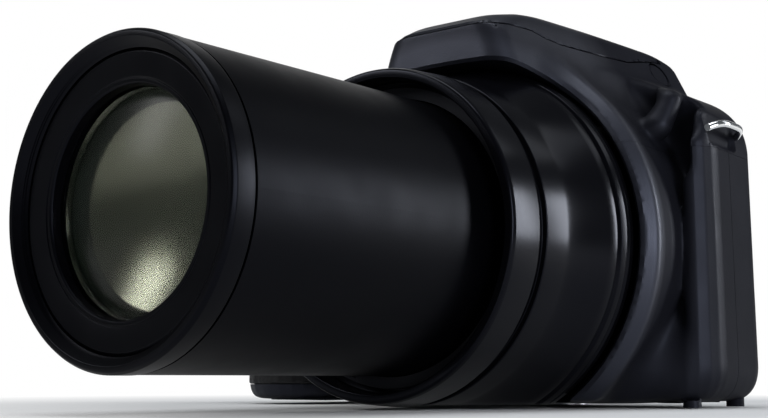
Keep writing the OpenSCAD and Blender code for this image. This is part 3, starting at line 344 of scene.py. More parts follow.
def rod(u, v, w, cu, cv, r, w0, w1):
    """Round rod along w between w0 and w1."""
    return np.maximum(np.hypot(u - cu, v - cv) - r, np.maximum(w0 - w, w - w1))


def taper(x, y, z, a, b, ra, rb):
    """Round-ended rod from a to b, with a radius at each end."""
    run = np.subtract(b, a)
    along = (x - a[0]) * run[0] + (y - a[1]) * run[1] + (z - a[2]) * run[2]
    t = np.clip(along / (run @ run), 0.0, 1.0)
    away = [p - o - r * t for p, o, r in zip((x, y, z), a, run)]
    return np.sqrt(sum(v * v for v in away)) - ra - (rb - ra) * t


def plane_of(a, b, c):
    """Normal and offset of the plane through three points."""
    n = np.cross(np.subtract(b, a), np.subtract(c, a))
    n = n / np.linalg.norm(n)
    return n, n @ np.array(a, float)


def flank(plane, x, y, z):
    """Distance above a plane that is mirrored left to right."""
    n, d = plane
    return n[0] * np.abs(x) + n[1] * y + n[2] * z - d


def open_up(f, x, y, z, openings):
    """A cover with openings cut: boxes, or rods along one axis, each with the softness of its edge."""
    ways = {"x": (y, z, x), "y": (x, z, y), "z": (x, y, z)}
    for kind, sizes, soft in openings.values():
        shape = box(x, y, z, *sizes) if kind == "box" else rod(*ways[kind], *sizes)
        f = cut(f, shape, soft)
    return f


# Main sizes in millimetres, as in the solids
SEAM_Y, SEAM_Z = -9.0, 58.2
UPRIGHT_HAIR, LEVEL_HAIR = 0.09, 0.03
WALL = 2.0
BASE_Z = 0.8
DECK_Z = 69.0
DECK_TILT = math.radians(14)
LID_Z = 86.4
COLLAR_R = 42.1
COLLAR_FRONT = -38
HINGE = (5.0, 88.7)
HINGE_R = 1.3

# Outlines of the housing: from above, from the front, the hump from the side, the collar by radius and y
PLAN = rounded([(50.1, 10, 8), (-77.7, 10, 8), (-77.7, -42, 11.4), (-53.7, -42, 11.4), (-51.7, -20.5, 3.5),
                (-45.7, -20.5, 4), (-39.7, -25, 4), (52.5, -25, 8.5)])
FACE = rounded([(70, BASE_Z, 0), (70, 59.2, 0), (30, 78, 3), (-26, 78, 3), (-30, 69, 4), (-95, 69, 0),
                (-95, BASE_Z, 0)])
HUMP = rounded([(-53, 61.2, 0), (13, 61.2, 0), (13, 86.3, 4), (6, 90.3, 12), (-17, 92.9, 40), (-33, 93.1, 20),
                (-47, 90.1, 12), (-53, 87, 1.5)])
COLLAR = rounded([(15, COLLAR_FRONT, 0), (44.0, COLLAR_FRONT, 0.5), (46.3, -35.8, 2.0), (45.2, -28, 3),
                  (44.8, -22, 2), (44.8, -8, 0), (15, -8, 0)])
FLANKS = [plane_of((31.5, -38, 62), (25.9, 6, 86.4), (19.5, -38, 86)),
          plane_of((18.4, -38, 88.6), (22.9, 2, 90.3), (12.5, -38, 92.8)),
          plane_of((21, -20, 91.2), (23.5, 5, 89.9), (8, -20, 93.2)),
          plane_of((17.8, -53, 78.4), (23.3, -38, 78.4), (16.2, -53, 86))]
SIDE_LEAN = 0.018

# Sloping top of the grip, which ends at the hump
NOSE_Y, NOSE_END, NOSE_FADE = -17.0, -46.0, 0.8
NOSE_SLOPE, NOSE_COS = math.tan(DECK_TILT), 0.97

# Hollow between the collar and the corner column, shallower below, and the shoulder with its pillar
VALLEY = ((27, -70, -20), (44.8, -15.5, 60.8), 2.0)
VALLEY_TOP, VALLEY_RUN, VALLEY_LIFT = 30.0, 22.0, 11.0
SHOULDER = [((27, -60, 52), (36.6, -14.5, 90), 2.5),
            ((33, -60, 52), (46.4, -14.5, 71.0), 3.0),
            ((27, -60, 62.5), (60, -21.0, 90), 2.0)]
PILLAR = ((40.6, -18.4, 69.6), (39.2, -20.8, 64.2), 2.7, 3.0)

# Softness where the forms of the housing meet: plain, or over a span of x, y or z
NOSE_SOFT, VALLEY_SOFT, PILLAR_SOFT = 5.0, 4.5, 2.0
HUMP_FOOT_SOFT, COLLAR_FOOT_SOFT, BASE_SOFT = 3.5, 2.0, 1.5
SHOULDER_SOFT = (3.0, 3.0, 4.0)
FLANK_SOFT = (3.0, 3.0, 6.0)
SLAB_SOFT_X = ([20.0, 42.0], [5.0, 9.0])
HUMP_SOFT_Y = ([-50.0, -40.0], [5.0, 2.5])
COLLAR_SOFT_Z = ([8.0, 22.0, 32.0, 56.0, 68.0], [9.0, 4.0, 1.6, 1.6, 6.0])


def form(x, y, z):
    """Outside of the whole housing as one flowing form."""
    plan = poly(x, y, PLAN) + SIDE_LEAN * np.maximum(x, 0.0) * z / DECK_Z
    slab = smax(plan, poly(x, z, FACE), np.interp(x, *SLAB_SOFT_X))
    nose = (z - DECK_Z - (y - NOSE_Y) * NOSE_SLOPE) * NOSE_COS - NOSE_FADE * np.maximum(x - NOSE_END, 0.0)
    slab = smax(slab, nose, NOSE_SOFT)
    low = np.clip((VALLEY_TOP - z) / VALLEY_RUN, 0.0, 1.0)
    lift = VALLEY_LIFT * low * low * (3.0 - 2.0 * low)
    slab = cut(slab, box(x, y + lift, z, *VALLEY), VALLEY_SOFT)
    for recess, soft in zip(SHOULDER, SHOULDER_SOFT):
        slab = cut(slab, box(x, y, z, *recess), soft)
    slab = smin(slab, taper(x, y, z, *PILLAR), PILLAR_SOFT)
    side = flank(FLANKS[0], x, y, z)
    for plane, soft in zip(FLANKS[1:], FLANK_SOFT):
        side = smax(side, flank(plane, x, y, z), soft)
    hump = smax(poly(y, z, HUMP), side, np.interp(y, *HUMP_SOFT_Y))
    whole = smin(slab, hump, HUMP_FOOT_SOFT)
    radius = np.hypot(x, z - LENS_Z)
    collar = smax(poly(radius, y, COLLAR), BASE_Z - z, COLLAR_FOOT_SOFT)
    whole = smin(whole, collar, np.interp(z, *COLLAR_SOFT_Z))
    return smax(whole, BASE_Z - z, BASE_SOFT)


# Room for the barrel: the brow of the hump rises to the sides, ahead of the collar
BROW_RUN, BROW_RISE, BROW_HALF, BROW_MOST, BROW_DROP = 15.0, 3.0, 17.5, 1.7, 0.9
ROOM_BACK = -20.0
BORE_SOFT, THINNEST = 0.6, 0.75


def barrel_room(x, y, z):
    """Clear space round the barrel, through the collar and under the brow of the hump."""
    ahead = np.clip((COLLAR_FRONT - y) / BROW_RUN, 0.0, 1.0)
    brow = BROW_RISE * np.minimum((x / BROW_HALF) ** 2, BROW_MOST) - BROW_DROP
    return np.maximum(np.hypot(x, z - LENS_Z) - COLLAR_R - ahead * brow, y - ROOM_BACK)


def bore(f, g, x, y, z):
    """The barrel's room cut from a cover, with no feather edge left beside it."""
    room = barrel_room(x, y, z)
    return np.maximum(cut(f, room, BORE_SOFT), THINNEST + g - room)


RING_R, RING_BACK = 46.0, -23.0


def beyond_collar(x, y, z):
    """Everything outside the solid ring of the collar."""
    return np.minimum(RING_R - np.hypot(x, z - LENS_Z), RING_BACK - y)


# Underside: feet, screw bosses and holes, and the way for the battery door
FEET = [(45, -20), (45, 2.5), (-41, -16), (-41, 2.5)]
FOOT = (2.0, 0.0, 1.6)
FOOT_SOFT = 0.3
SCREWS = [(38, -16), (38, 2), (-34, -17), (-34, 2)]
BOSS = (3.0, 0.9, 8.8)
SCREW_HOLE = (2.05, -2.0, 2.0)
DOOR_WAY = np.array([(-48.7, 7.5), (-74.8, 7.5), (-74.8, -30.4), (-54.5, -30.4), (-54.5, -17.6),
                     (-48.7, -17.6)])
DOOR_WAY_TOP = 6.0


def base_works(f, x, y, z, front):
    """Feet, screw holes and the battery way in the underside of one lower cover."""
    for cx, cy in FEET:
        if (cy < SEAM_Y) == front:
            f = smin(f, rod(x, y, z, cx, cy, *FOOT), FOOT_SOFT)
    for cx, cy in SCREWS:
        if (cy < SEAM_Y) == front:
            f = np.minimum(f, rod(x, y, z, cx, cy, *BOSS))
        f = cut(f, rod(x, y, z, cx, cy, *SCREW_HOLE))
    return cut(f, np.maximum(poly(x, y, DOOR_WAY), z - DOOR_WAY_TOP))


# Rubber on the grip, in a bed of the front cover
GRIP_LO, GRIP_HI = (-90, -60, 5), (-53.2, SEAM_Y - 0.2, 44.4)
BED_DEPTH = 1.0
RUBBER_DEPTH, RUBBER_PROUD, RUBBER_GAP, RUBBER_SOFT = 0.95, 0.25, 0.1, 0.8


def grip_zone(x, y, z, gap=0.0):
    """Where the rubber lies on the grip."""
    return box(x, y, z, (*GRIP_LO[:2], GRIP_LO[2] + gap), [v - gap for v in GRIP_HI])


def rubber_field(x, y, z):
    g = form(x, y, z)
    skin = smax(g - RUBBER_PROUD, grip_zone(x, y, z, RUBBER_GAP), RUBBER_SOFT)
    return np.maximum(skin, -RUBBER_DEPTH - g)


# Openings: box (two corners, edge radius) or rod along an axis (centre, radius, two ends), and softness
FRONT_OPENINGS = {
    "side_door": ("box", ((-79, -29.4, 47.4), (-74.6, -10.8, 57.0)), 0.0),
    "focus_lamp": ("y", (-48.5, 54.0, 2.4, -27.0, -16.0), 0.0),
}
REAR_OPENINGS = {
    "screen": ("box", ((-24, 7, 10), (43, 12, 56), 0.8), 0.4),
    "cursor_pad": ("y", (-54, 29, 12.3, 7, 12), 0.5),
    "play_key": ("y", (-38, 50, 3.3, 7, 12), 0.4),
    "tripod_bush": ("z", (0, 0, 6.1, -1, 12), 0.0),
}
TOP_OPENINGS = {
    "finder": ("box", ((-10, 8, 76), (10, 14, 83.2)), 0.0),
    "mode_dial": ("z", (-45, -3.5, 10.8, 68.1, 75), 0.4),
    "power_switch": ("box", ((-71.6, -5.3, 66), (-61.6, -0.7, 71), 0.8), 0.4),
    "record_button": ("z", (-56.7, -11, 3.3, 66, 71), 0.4),
    "rear_dial_window": ("box", ((-72, 4, 61.1), (-57.4, 13, 66.1), 0.8), 0.6),
    "rear_dial": ("z", (-64.7, 5, 7.3, 61.1, 66.1), 0.0),
    "finder_key": ("y", (38, 63.2, 2.9, 7, 12), 0.4),
    "lock_key": ("y", (-40, 63.2, 2.9, 7, 12), 0.4),
    "flash_key": ("x", (3, 82.1, 3.3, 20, 40), 0.3),
    "diopter_dial": ("x", (8, 85.1, 3.95, -40, -27.5), 0.0),
}


def front_field(x, y, z):
    g = form(x, y, z)
    f = np.maximum(g, np.maximum(y - SEAM_Y + UPRIGHT_HAIR, z - SEAM_Z + LEVEL_HAIR))
    f = cut(f, np.maximum(g + WALL, beyond_collar(x, y, z)))
    f = bore(f, g, x, y, z)
    f = base_works(f, x, y, z, True)
    f = cut(f, np.maximum(-BED_DEPTH - g, grip_zone(x, y, z)))
    return open_up(f, x, y, z, FRONT_OPENINGS)


def rear_field(x, y, z):
    g = form(x, y, z)
    f = np.maximum(g, np.maximum(SEAM_Y + UPRIGHT_HAIR - y, z - SEAM_Z + LEVEL_HAIR))
    f = cut(f, g + WALL)
    f = base_works(f, x, y, z, False)
    return open_up(f, x, y, z, REAR_OPENINGS)


# Top cover: inner hollow, strap pockets with their walls, seat of the flash lid, hinge ears
HOLLOW_TOP, HOLLOW_FRONT = 82.4, -37.0
POCKETS = [((48.7, -18.8, 58.9), (60, -4.2, 67.3)), ((-90, -18.8, 58.9), (-73.9, -4.2, 67.3))]
POCKET_R, POCKET_WALL, POCKET_DEEP, POCKET_SOFT = 1.5, 1.4, 0.5, 0.8
LID_EDGE_Y = ([-51.0, -46.0, -41.0, -37.4, -33.0, -26.0, -19.0, -9.0, 3.0],
              [0.3, 0.2, -0.2, -1.6, -2.4, -2.7, -2.9, -2.7, -0.4])
LID_GAP, SEAT_DEEP, SEAT_SKIN, SEAT_BACK = 0.3, 2.1, 1.8, 6.75
EAR_RUN = (3.5, -2.0)
EAR_X, EAR_HALF = 10.5, 1.5
FLASH_BAY = ((-14.4, -50.6, 80.9), (14.4, -38, 110))
SHUTTER = (-64.7, -30.0, 65.76)
SHUTTER_WELL_R, SHUTTER_WELL_Z = 6.8, 60


def lid_line(y):
    """Height of the flash lid's lower edge, which rises to the plate at the front."""
    return LID_Z + np.interp(y, *LID_EDGE_Y)


def shutter_well(x, y, z):
    """Well round the shutter button's tilted axis."""
    v = (y - SHUTTER[1]) * math.cos(DECK_TILT) + (z - SHUTTER[2]) * math.sin(DECK_TILT)
    return np.maximum(np.hypot(x - SHUTTER[0], v) - SHUTTER_WELL_R, SHUTTER_WELL_Z - z)


def ears(x, y, z):
    """Two hinge ears that carry the flash lid's pin."""
    dy, dz = y - HINGE[0], z - HINGE[1]
    t = np.clip((dy * EAR_RUN[0] + dz * EAR_RUN[1]) / (EAR_RUN[0] ** 2 + EAR_RUN[1] ** 2), 0.0, 1.0)
    arm = np.hypot(dy - EAR_RUN[0] * t, dz - EAR_RUN[1] * t) - HINGE_R
    return np.maximum(arm, np.abs(np.abs(x) - EAR_X) - EAR_HALF)


def top_field(x, y, z):
    g = form(x, y, z)
    seam = SEAM_Z + LEVEL_HAIR - z
    f = np.maximum(g, seam)
    ahead = np.maximum(HOLLOW_FRONT - y, beyond_collar(x, y, z))
    f = cut(f, np.maximum(np.maximum(g + WALL, z - HOLLOW_TOP), ahead))
    for lo, hi in POCKETS:
        walls = box(x, y, z, [v - POCKET_WALL for v in lo], [v + POCKET_WALL for v in hi], POCKET_R)
        f = np.minimum(f, np.maximum(np.maximum(walls, g + POCKET_DEEP), seam))
        f = cut(f, box(x, y, z, lo, hi, POCKET_R), POCKET_SOFT)
    above = lid_line(y) - LID_GAP - z
    f = cut(f, np.maximum(np.maximum(above, LID_Z - SEAT_DEEP - z), y - SEAT_BACK))
    f = cut(f, np.maximum(np.maximum(above, -SEAT_SKIN - g), y - SEAT_BACK))
    f = np.minimum(f, ears(x, y, z))
    f = cut(f, box(x, y, z, *FLASH_BAY))
    f = bore(f, g, x, y, z)
    f = cut(f, shutter_well(x, y, z))
    return open_up(f, x, y, z, TOP_OPENINGS)


# Flash lid: shell, flash head with its mouth, ribs, slots for the ears, and its end round the hinge
LID_WALL, LID_SOFT = 1.5, 0.5
LID_HOLLOW_Y = (-51.5, 1.5)
HEAD, HEAD_SKIN = ((-13.8, -49.8, 81.4), (13.8, -40, 88.6), 0.6), 0.4
RIB, RIB_SKIN = ((12.6, -41, LID_Z), (13.8, 3, 90.6)), 0.75
HEAD_MOUTH = ((-12.4, -50.5, 82.2), (12.4, -44, 87.2))
EAR_SLOT = ((8.7, 2.6, 80), (12.3, 10, 99))
LID_FRONT, LID_LOW, LID_HIGH = -58, 81, 99
HEEL_Y, HEEL_RISE = HINGE[0] + 0.5, 0.8
QUARTER_TURN, QUARTER_POINTS = 1.57, 7
LID_END = np.array([(LID_FRONT, LID_LOW), (HEEL_Y, LID_LOW), (HEEL_Y, LID_Z),
                    (HINGE[0] + HINGE_R, LID_Z + HEEL_RISE)]
                   + [(HINGE[0] + HINGE_R * math.cos(a), HINGE[1] + HINGE_R * math.sin(a))
                      for a in np.linspace(0, QUARTER_TURN, QUARTER_POINTS)]
                   + [(HINGE[0], LID_HIGH), (LID_FRONT, LID_HIGH)])


def lid_field(x, y, z):
    g = form(x, y, z)
    f = np.maximum(smax(g, lid_line(y) - z, LID_SOFT), poly(y, z, LID_END))
    f = cut(f, np.maximum(g + LID_WALL, np.maximum(LID_HOLLOW_Y[0] - y, y - LID_HOLLOW_Y[1])))
    f = np.minimum(f, np.maximum(box(x, y, z, *HEAD), g + HEAD_SKIN))
    f = np.minimum(f, np.maximum(box(np.abs(x), y, z, *RIB), g + RIB_SKIN))
    f = cut(f, box(x, y, z, *HEAD_MOUTH))
    return cut(f, box(np.abs(x), y, z, *EAR_SLOT))


FLASH_KEY = (3, 82.1, 3.0, 21, 40)
KEY_SUNK, KEY_SOFT = 0.1, 0.6


def key_field(x, y, z):
    return smax(rod(y, z, x, *FLASH_KEY), form(x, y, z) + KEY_SUNK, KEY_SOFT)


# Meshes
CREASE = 35.0
WELD = 0.000002


def finish_mesh(name, verts, faces, finish, body, slot, replaced, sharp=CREASE, clean=False):
    """Object from points in metres, shaded smooth with crisp edges, on its body."""
    mesh = bpy.data.meshes.new(name)
    mesh.from_pydata(verts, [], faces)
    if clean:
        work = bmesh.new()
        work.from_mesh(mesh)
        bmesh.ops.remove_doubles(work, verts=work.verts, dist=WELD)
        bmesh.ops.recalc_face_normals(work, faces=work.faces)
        work.to_mesh(mesh)
        work.free()
    mesh.materials.append(finish.mat)
    mesh.shade_smooth()
    mesh.set_sharp_from_angle(angle=math.radians(sharp))
    obj = bpy.data.objects.new(name, mesh)
    bpy.context.collection.objects.link(obj)
    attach(obj, body)
    if replaced:
        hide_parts(*replaced)


# Dual contouring: margin in steps, rounds of root finding with their limits, slope step, pull to the middle
MARGIN = 1.5
ROUNDS, LEAST, MOST = 4, 0.05, 0.95
SLOPE_STEP, FLATTEST = 0.02, 1e-9
STEADY = 0.04


def mould(field, lo, hi, step):
    """Points and faces of a field's skin, with its creases kept, by dual contouring."""
    lo = np.array(lo, float) - MARGIN * step
    count = np.ceil((np.array(hi) + MARGIN * step - lo) / step).astype(int) + 1
    grid = np.ogrid[tuple(slice(0, n) for n in count)]
    values = field(*(o + g * step for o, g in zip(lo, grid)))
    inside = values < 0
    points, normals, owners, faces = [], [], [], []
    cell_shape = count - 1
    for axis in range(3):
        first = tuple(slice(0, -1) if k == axis else slice(None) for k in range(3))
        second = tuple(slice(1, None) if k == axis else slice(None) for k in range(3))
        at = np.argwhere(inside[first] != inside[second])
        start = lo + at * step
        into = np.eye(3)[axis] * step
        starts_in = inside[first][tuple(at.T)]
        t0, t1 = np.zeros(len(at)), np.ones(len(at))
        f0, f1 = values[first][tuple(at.T)], values[second][tuple(at.T)]
        for _ in range(ROUNDS):
            t = t0 + (t1 - t0) * np.clip(f0 / (f0 - f1), LEAST, MOST)
            f = field(*(start + t[:, None] * into).T)
            low = (f < 0) == starts_in
            t0, f0 = np.where(low, t, t0), np.where(low, f, f0)
            t1, f1 = np.where(low, t1, t), np.where(low, f1, f)
        hit = start + (t0 + (t1 - t0) * f0 / (f0 - f1))[:, None] * into
        here = field(*hit.T)
        slope = np.stack([field(*(hit + np.eye(3)[k] * SLOPE_STEP).T) - here for k in range(3)], axis=1)
        slope /= np.maximum(np.linalg.norm(slope, axis=1), FLATTEST)[:, None]
        u, v = np.eye(3, dtype=int)[(axis + 1) % 3], np.eye(3, dtype=int)[(axis + 2) % 3]
        around = [np.ravel_multi_index((at - s * u - t * v).T, cell_shape)
                  for s, t in ((1, 1), (0, 1), (0, 0), (1, 0))]
        quads = np.stack(around, axis=1)
        faces.append(np.where(starts_in[:, None], quads, quads[:, ::-1]))
        for cell in around:
            points.append(hit)
            normals.append(slope)
            owners.append(cell)
    p, n, owner = np.concatenate(points), np.concatenate(normals), np.concatenate(owners)
    cells, index = np.unique(owner, return_inverse=True)

    def total(weight):
        return np.bincount(index, weight, len(cells))

    number = total(np.ones(len(p)))
    middle = np.stack([total(p[:, k]) / number for k in range(3)], axis=1)
    off = (n * (p - middle[index])).sum(axis=1)
    normal_sum = np.stack([[total(n[:, i] * n[:, j]) for j in range(3)] for i in range(3)]).transpose(2, 0, 1)
    pull = np.stack([total(n[:, k] * off) for k in range(3)], axis=1)
    shift = np.linalg.solve(normal_sum + STEADY * np.eye(3), pull[:, :, None])[:, :, 0]
    corner = lo + np.stack(np.unravel_index(cells, cell_shape), axis=1) * step
    spots = np.clip(middle + shift, corner, corner + step)
    return spots * MM, np.searchsorted(cells, np.concatenate(faces))


# Name, field, low and high corner, step, then finish, body, slot and the node it stands for
MOULDED = [
    ("front_shell", front_field, (-78, -43, -0.2), (53, -8.8, 83), 0.65,
     COVER, "body", "cover_plastic", ["front_cover"]),
    ("rear_shell", rear_field, (-78, -9.2, -0.2), (53, 10.5, 59), 0.9,
     COVER, "body", "cover_plastic", ["rear_cover"]),
    ("top_shell", top_field, (-78.5, -54, 58), (53, 13.6, 92), 0.65,
     COVER, "body", "cover_plastic", ["top_cover"]),
    ("flash_lid_shell", lid_field, (-27, -54, 81), (27, 7, 94), 0.6,
     COVER, "flash", "cover_plastic", ["flash_lid"]),
    ("flash_key_cap", key_field, (20.5, -1, 78), (36, 7, 86), 0.35,
     COVER, "flash_button", "cover_plastic", ["flash_button"]),
    ("grip_skin", rubber_field, (-79, -43.5, 4.5), (-53, -9, 45), 0.55,
     GRIP, "body", "grip_rubber", ["grip_rubber"]),
]
for name, field, lo, hi, step, *rest in MOULDED:
    spots, quads = mould(field, lo, hi, step)
    finish_mesh(name, spots, quads.tolist(), *rest)

# Rings and glass round the lens axis
TURNS = 192
GLASS_CREASE = 50.0
RIDGE_CREASE = 20.0


def lathe(name, profile, finish, body, slot, replaced, flat_z=None, sharp=CREASE):
    """Closed ring or disc from (radius, y) points in millimetres, flattened below flat_z if given."""
    turns = np.linspace(0.0, 2 * math.pi, TURNS, endpoint=False)
    profile = np.asarray(profile, float)
    m = len(profile)
    verts = np.empty((TURNS, m, 3))
    verts[:, :, 0] = np.cos(turns)[:, None] * profile[:, 0]
    verts[:, :, 1] = profile[:, 1]
    verts[:, :, 2] = np.sin(turns)[:, None] * profile[:, 0] + LENS_Z
    if flat_z is not None:
        verts[:, :, 2] = np.maximum(verts[:, :, 2], flat_z)
    ids = np.arange(TURNS * m).reshape(TURNS, m)
    nxt = np.roll(ids, -1, axis=0)
    quads = np.stack([ids, nxt, np.roll(nxt, -1, axis=1), np.roll(ids, -1, axis=1)], axis=2).reshape(-1, 4)
    points = verts.reshape(-1, 3) * MM
    finish_mesh(name, points, quads.tolist(), finish, body, slot, replaced, sharp, clean=True)


def set_back(start, corners):
    """Corners (radius, y, rounding) whose y counts from a start."""
    return [(r, start + y, soft) for r, y, soft in corners]


BEZEL_Y = -147.0
THREAD_R, THREAD_DEEP, THREAD_Y, THREAD_STEP, THREADS = 27.5, 0.28, 0.9, 0.24, 6
thread = [(THREAD_R - THREAD_DEEP * (i % 2), BEZEL_Y + THREAD_Y + THREAD_STEP * i, 0) for i in range(THREADS)]
bezel = set_back(BEZEL_Y, [
    (28.5, 0.0, 0.3), (29.5, 0.0, 0.5), (30, 0.8, 0.5), (30, 4.8, 0.35), (29.35, 5.3, 0.2), (28.4, 5.4, 0),
    (28.4, 6.2, 0), (26.9, 6.2, 0), (26.9, 2.3, 0)])
lathe("bezel_ring", rounded(bezel + thread[::-1], 4), RIM, "zoom_group", "tube_plastic", ["front_bezel"])
ring_face = set_back(BEZEL_Y, [
    (20.6, 3.1, 0.25), (20.9, 2.75, 0.2), (21.5, 2.7, 0.1), (21.7, 2.85, 0.05), (21.9, 2.68, 0.1),
    (26.2, 2.2, 0.2), (26.9, 2.6, 0.1), (26.9, 6.2, 0), (28.4, 6.2, 0), (28.4, 10, 0), (22.6, 10, 0),
    (22.6, 7, 0), (20.6, 5, 0)])
lathe("ring_face", rounded(ring_face, 4), RIM, "zoom_group", "tube_plastic", ["name_ring"])

DOME_RINGS = 24


def dome(r, y0, bulge0, y1, bulge1):
    """Profile of a lens element: front face, rim, rear face."""
    k = np.linspace(0.0, 1.0, DOME_RINGS)
    front = [(r * t, y0 - bulge0 * (1 - t * t)) for t in k]
    rear = [(r * t, y1 + bulge1 * (1 - t * t)) for t in k[::-1]]
    return front + rear


lathe("front_glass", dome(20.55, -140.9, 3.3, -138.4, 0.3), FRONT_GLASS, "zoom_group", "front_glass",
      ["front_element"], sharp=GLASS_CREASE)
RIDGES, RIDGE_HIGH = 12, 0.12
CELL_START, CELL_RUN = (20.5, -137.9), (-2.3, 4.2)
ridges = [(CELL_START[0] + CELL_RUN[0] * i / RIDGES + RIDGE_HIGH * (i % 2),
           CELL_START[1] + CELL_RUN[1] * i / RIDGES) for i in range(RIDGES + 1)]
cell_back = [(18.2, -133.2), (27.5, -133.2), (27.5, -137.0), (22.0, -137.0), (22.0, -137.9)]
lathe("lens_cell", ridges + cell_back, CELL_RING, "zoom_group", "inner_plastic", [], sharp=RIDGE_CREASE)
lathe("second_glass", dome(18.3, -135.0, -3.2, -131.5, 0.5), SECOND_GLASS, "zoom_group", "inner_glass",
      ["second_element"], sharp=GLASS_CREASE)

MOUTH_Y = -77.0
mouth = set_back(MOUTH_Y, [
    (33.8, 0.0, 0.3), (35.7, 0.0, 0.6), (36.0, 1.0, 0.6), (36.55, 8.9, 0.35), (36.1, 9.2, 0.15),
    (34.3, 9.2, 0), (34.3, 6, 0), (33.5, 5, 0)])
lathe("mouth_band", rounded(mouth), GLOSS, "body", "gloss_plastic", ["mouth_ring"])
FLARE_START, FLARE_RUN, FLARE_CURVE, FLARE_STEPS = (37.0, -58.4), (3.6, 12.2), 1.25, 18
flare = [(FLARE_START[0] + FLARE_RUN[0] * t ** FLARE_CURVE, FLARE_START[1] + FLARE_RUN[1] * t, 0)
         for t in np.linspace(0.0, 1.0, FLARE_STEPS)]
shroud_front = [(32.7, -67.8, 0), (35.3, -67.8, 0), (35.3, -65.4, 0.2), (36.5, -65.4, 0.3)]
shroud_back = [
    (40.9, -44.4, 0.25), (40.3, -44.1, 0.12), (40.4, -43.6, 0.12), (41.3, -43.2, 0.3), (41.6, -41.6, 0.3),
    (41.3, -41.0, 0.12), (41.6, -40.4, 0.3), (41.6, -38.7, 0.3), (39.8, -38.5, 0), (39.4, -42.8, 0),
    (35.8, -53.8, 0), (33.9, -55.8, 0), (33.9, -18, 0), (35.7, -17, 0), (35.7, -15, 0), (32.7, -15, 0)]
lathe("barrel_shroud", rounded(shroud_front + flare + shroud_back), GLOSS, "body", "gloss_plastic",
      ["lens_shroud"], flat_z=BASE_Z)

# Strap loops: bowed wire across each pocket
LOOP_STARTS = [(50.3, -19.2, 62.6), (-75.5, -19.2, 62.6)]
LOOP_LENGTH, LOOP_BOW, LOOP_RISE, LOOP_R = 15.4, 2.5, 1.25, 0.85
LOOP_STEPS, LOOP_SIDES = 25, 16


def bowed_wire(name, finish, body, slot, replaced):
    """Wires along Y from the given starts, bowed outward in X and a little up."""
    verts, faces = [], []
    for x0, y0, z0 in LOOP_STARTS:
        first = len(verts)
        for i in range(LOOP_STEPS):
            t = i / (LOOP_STEPS - 1)
            bow = 1 - (2 * t - 1) ** 4
            cx = x0 + math.copysign(LOOP_BOW, x0) * bow
            cz = z0 + LOOP_RISE * bow
            for k in range(LOOP_SIDES):
                a = 2 * math.pi * k / LOOP_SIDES
                verts.append(((cx + LOOP_R * math.cos(a)) * MM, (y0 + LOOP_LENGTH * t) * MM,
                              (cz + LOOP_R * math.sin(a)) * MM))
        for i in range(LOOP_STEPS - 1):
            for k in range(LOOP_SIDES):
                a = first + i * LOOP_SIDES + k
                b = first + i * LOOP_SIDES + (k + 1) % LOOP_SIDES
                faces.append((a, b, b + LOOP_SIDES, a + LOOP_SIDES))
        last = first + (LOOP_STEPS - 1) * LOOP_SIDES
        faces.append([first + k for k in range(LOOP_SIDES)][::-1])
        faces.append([last + k for k in range(LOOP_SIDES)])
    finish_mesh(name, verts, faces, finish, body, slot, replaced, clean=True)


bowed_wire("strap_loops", CHROME, "body", "plated_steel", ["strap_bars"])

# Softened edges on the small solid pieces
SOLID_WELD = 0.000005
SOLID_CREASE = 38.0


def soften(names, width, segments):
    """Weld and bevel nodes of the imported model, by a width in millimetres."""
    for name in names:
        obj = nodes[name]
        weld = obj.modifiers.new("weld", "WELD")
        weld.merge_threshold = SOLID_WELD
        bevel = obj.modifiers.new("soft", "BEVEL")
        bevel.width = width * MM
        bevel.segments = segments
        bevel.limit_method = "ANGLE"
        bevel.angle_limit = math.radians(SOLID_CREASE)


soften(["eyecup"], width=1.2, segments=4)
soften(["zoom_lever", "shutter_button"], width=0.45, segments=3)
soften(["record_button", "play_key", "set_key", "finder_key", "lock_key", "cursor_pad"], width=0.3,
       segments=3)
soften(["battery_door", "side_door", "power_switch", "lcd_window"], width=0.2, segments=2)

# Studio: white surround for the eye, dim room and soft lamps for the light, pale floor
ROOM_COLOR, ROOM_STRENGTH = (0.86, 0.92, 1.0, 1.0), 0.10
WHITE = (1.0, 1.0, 1.0, 1.0)
BACKDROP_EDGE = (0.80, 0.96)


def surround():
    world = bpy.data.worlds.new("studio")
    bpy.context.scene.world = world
    world.use_nodes = True
    tree = world.node_tree
    tree.nodes.clear()
    out = tree.nodes.new("ShaderNodeOutputWorld")
    room = tree.nodes.new("ShaderNodeBackground")
    room.inputs["Color"].default_value = ROOM_COLOR
    room.inputs["Strength"].default_value = ROOM_STRENGTH
    white = tree.nodes.new("ShaderNodeBackground")
    white.inputs["Color"].default_value = WHITE
    mix = tree.nodes.new("ShaderNodeMixShader")
    path = tree.nodes.new("ShaderNodeLightPath")
    # Gloss and glass see the white backdrop where it stands, on the far side of the part
    coord = tree.nodes.new("ShaderNodeTexCoord")
    dot = tree.nodes.new("ShaderNodeVectorMath")
    dot.operation = "DOT_PRODUCT"
    dot.inputs[1].default_value = (AIM - EYE).normalized()
    tree.links.new(coord.outputs["Generated"], dot.inputs[0])
    sector = remap(tree, dot.outputs["Value"], BACKDROP_EDGE)
    mirror = math_node(tree, "MAXIMUM", path.outputs["Is Glossy Ray"], path.outputs["Is Transmission Ray"])
    seen = math_node(tree, "MULTIPLY", mirror, sector)
    tree.links.new(math_node(tree, "MAXIMUM", path.outputs["Is Camera Ray"], seen), mix.inputs["Fac"])
    tree.links.new(room.outputs[0], mix.inputs[1])
    tree.links.new(white.outputs[0], mix.inputs[2])
    tree.links.new(mix.outputs[0], out.inputs["Surface"])


surround()

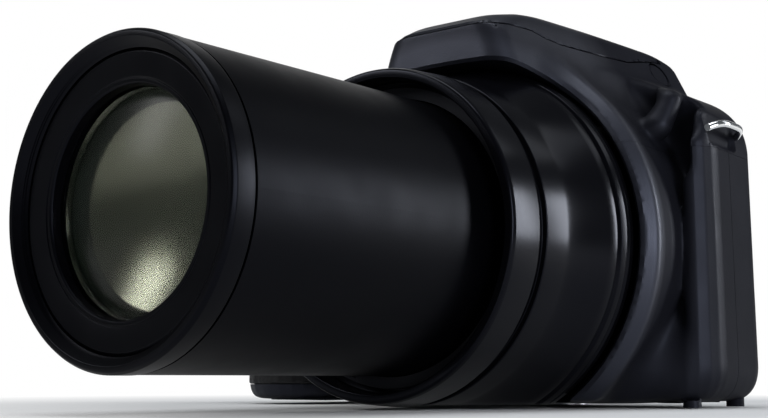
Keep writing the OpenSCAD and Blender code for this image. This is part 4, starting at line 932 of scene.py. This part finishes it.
FLOOR_HALF, FLOOR_Z = 3, -0.0002
PAPER_COLOR, PAPER_ROUGH, PAPER_GRAIN = (0.86, 0.86, 0.86), 0.8, 400.0
PAPER_EDGE = (0.10, 0.24)
floor_mesh = bpy.data.meshes.new("floor")
corners = [(FLOOR_HALF * u, FLOOR_HALF * v, 0) for u, v in ((-1, -1), (1, -1), (1, 1), (-1, 1))]
floor_mesh.from_pydata(corners, [], [(0, 1, 2, 3)])
floor = bpy.data.objects.new("floor", floor_mesh)
floor.location.z = FLOOR_Z
bpy.context.collection.objects.link(floor)
paper = Shader("floor_paper", PAPER_COLOR, PAPER_ROUGH, Specular_IOR_Level=0.0)
paper.bump(paper.noise(PAPER_GRAIN, FULL), height=0.0001, strength=0.2)
# Away from the part the paper runs out into the white of the backdrop
far = paper.node("ShaderNodeVectorMath", operation="LENGTH")
paper.link(paper.place(), far.inputs[0])
fade = remap(paper.tree, far.outputs["Value"], PAPER_EDGE)
rays = paper.node("ShaderNodeLightPath")
seen = math_node(paper.tree, "MAXIMUM", rays.outputs["Is Camera Ray"], rays.outputs["Is Transmission Ray"])
seen = math_node(paper.tree, "MAXIMUM", seen, rays.outputs["Is Glossy Ray"])
glow = paper.node("ShaderNodeEmission")
blend = paper.node("ShaderNodeMixShader")
paper.link(math_node(paper.tree, "MULTIPLY", fade, seen), blend.inputs["Fac"])
paper.link(paper.bsdf.outputs[0], blend.inputs[1])
paper.link(glow.outputs[0], blend.inputs[2])
paper.link(blend.outputs[0], paper.tree.nodes["Material Output"].inputs["Surface"])
floor_mesh.materials.append(paper.mat)

# Lamps: name, place, size, watts and colour, all turned to the middle of the part
MIDDLE = (0.0, -0.06, 0.045)
LAMPS = [
    ("side_box", (0.65, 0.645, 0.22), (0.16, 0.34), 4.2, (0.93, 0.96, 1.0)),
    ("upper_box", (0.43, 0.52, 0.72), (0.35, 0.30), 0.4, (0.93, 0.96, 1.0)),
    ("top_box", (0.0, -0.12, 1.0), (0.7, 0.5), 4.5, (0.94, 0.97, 1.0)),
    ("right_box", (0.95, -0.42, 0.15), (0.40, 0.50), 6.5, (0.93, 0.96, 1.0)),
    ("front_box", (-0.60, -0.74, 0.53), (0.24, 0.34), 2.5, (1.0, 1.0, 1.0)),
]
for name, at, size, watts, color in LAMPS:
    light = bpy.data.lights.new(name, "AREA")
    light.shape = "RECTANGLE"
    light.size, light.size_y = size
    light.energy = watts
    light.color = color
    point_at(bpy.data.objects.new(name, light), at, MIDDLE)
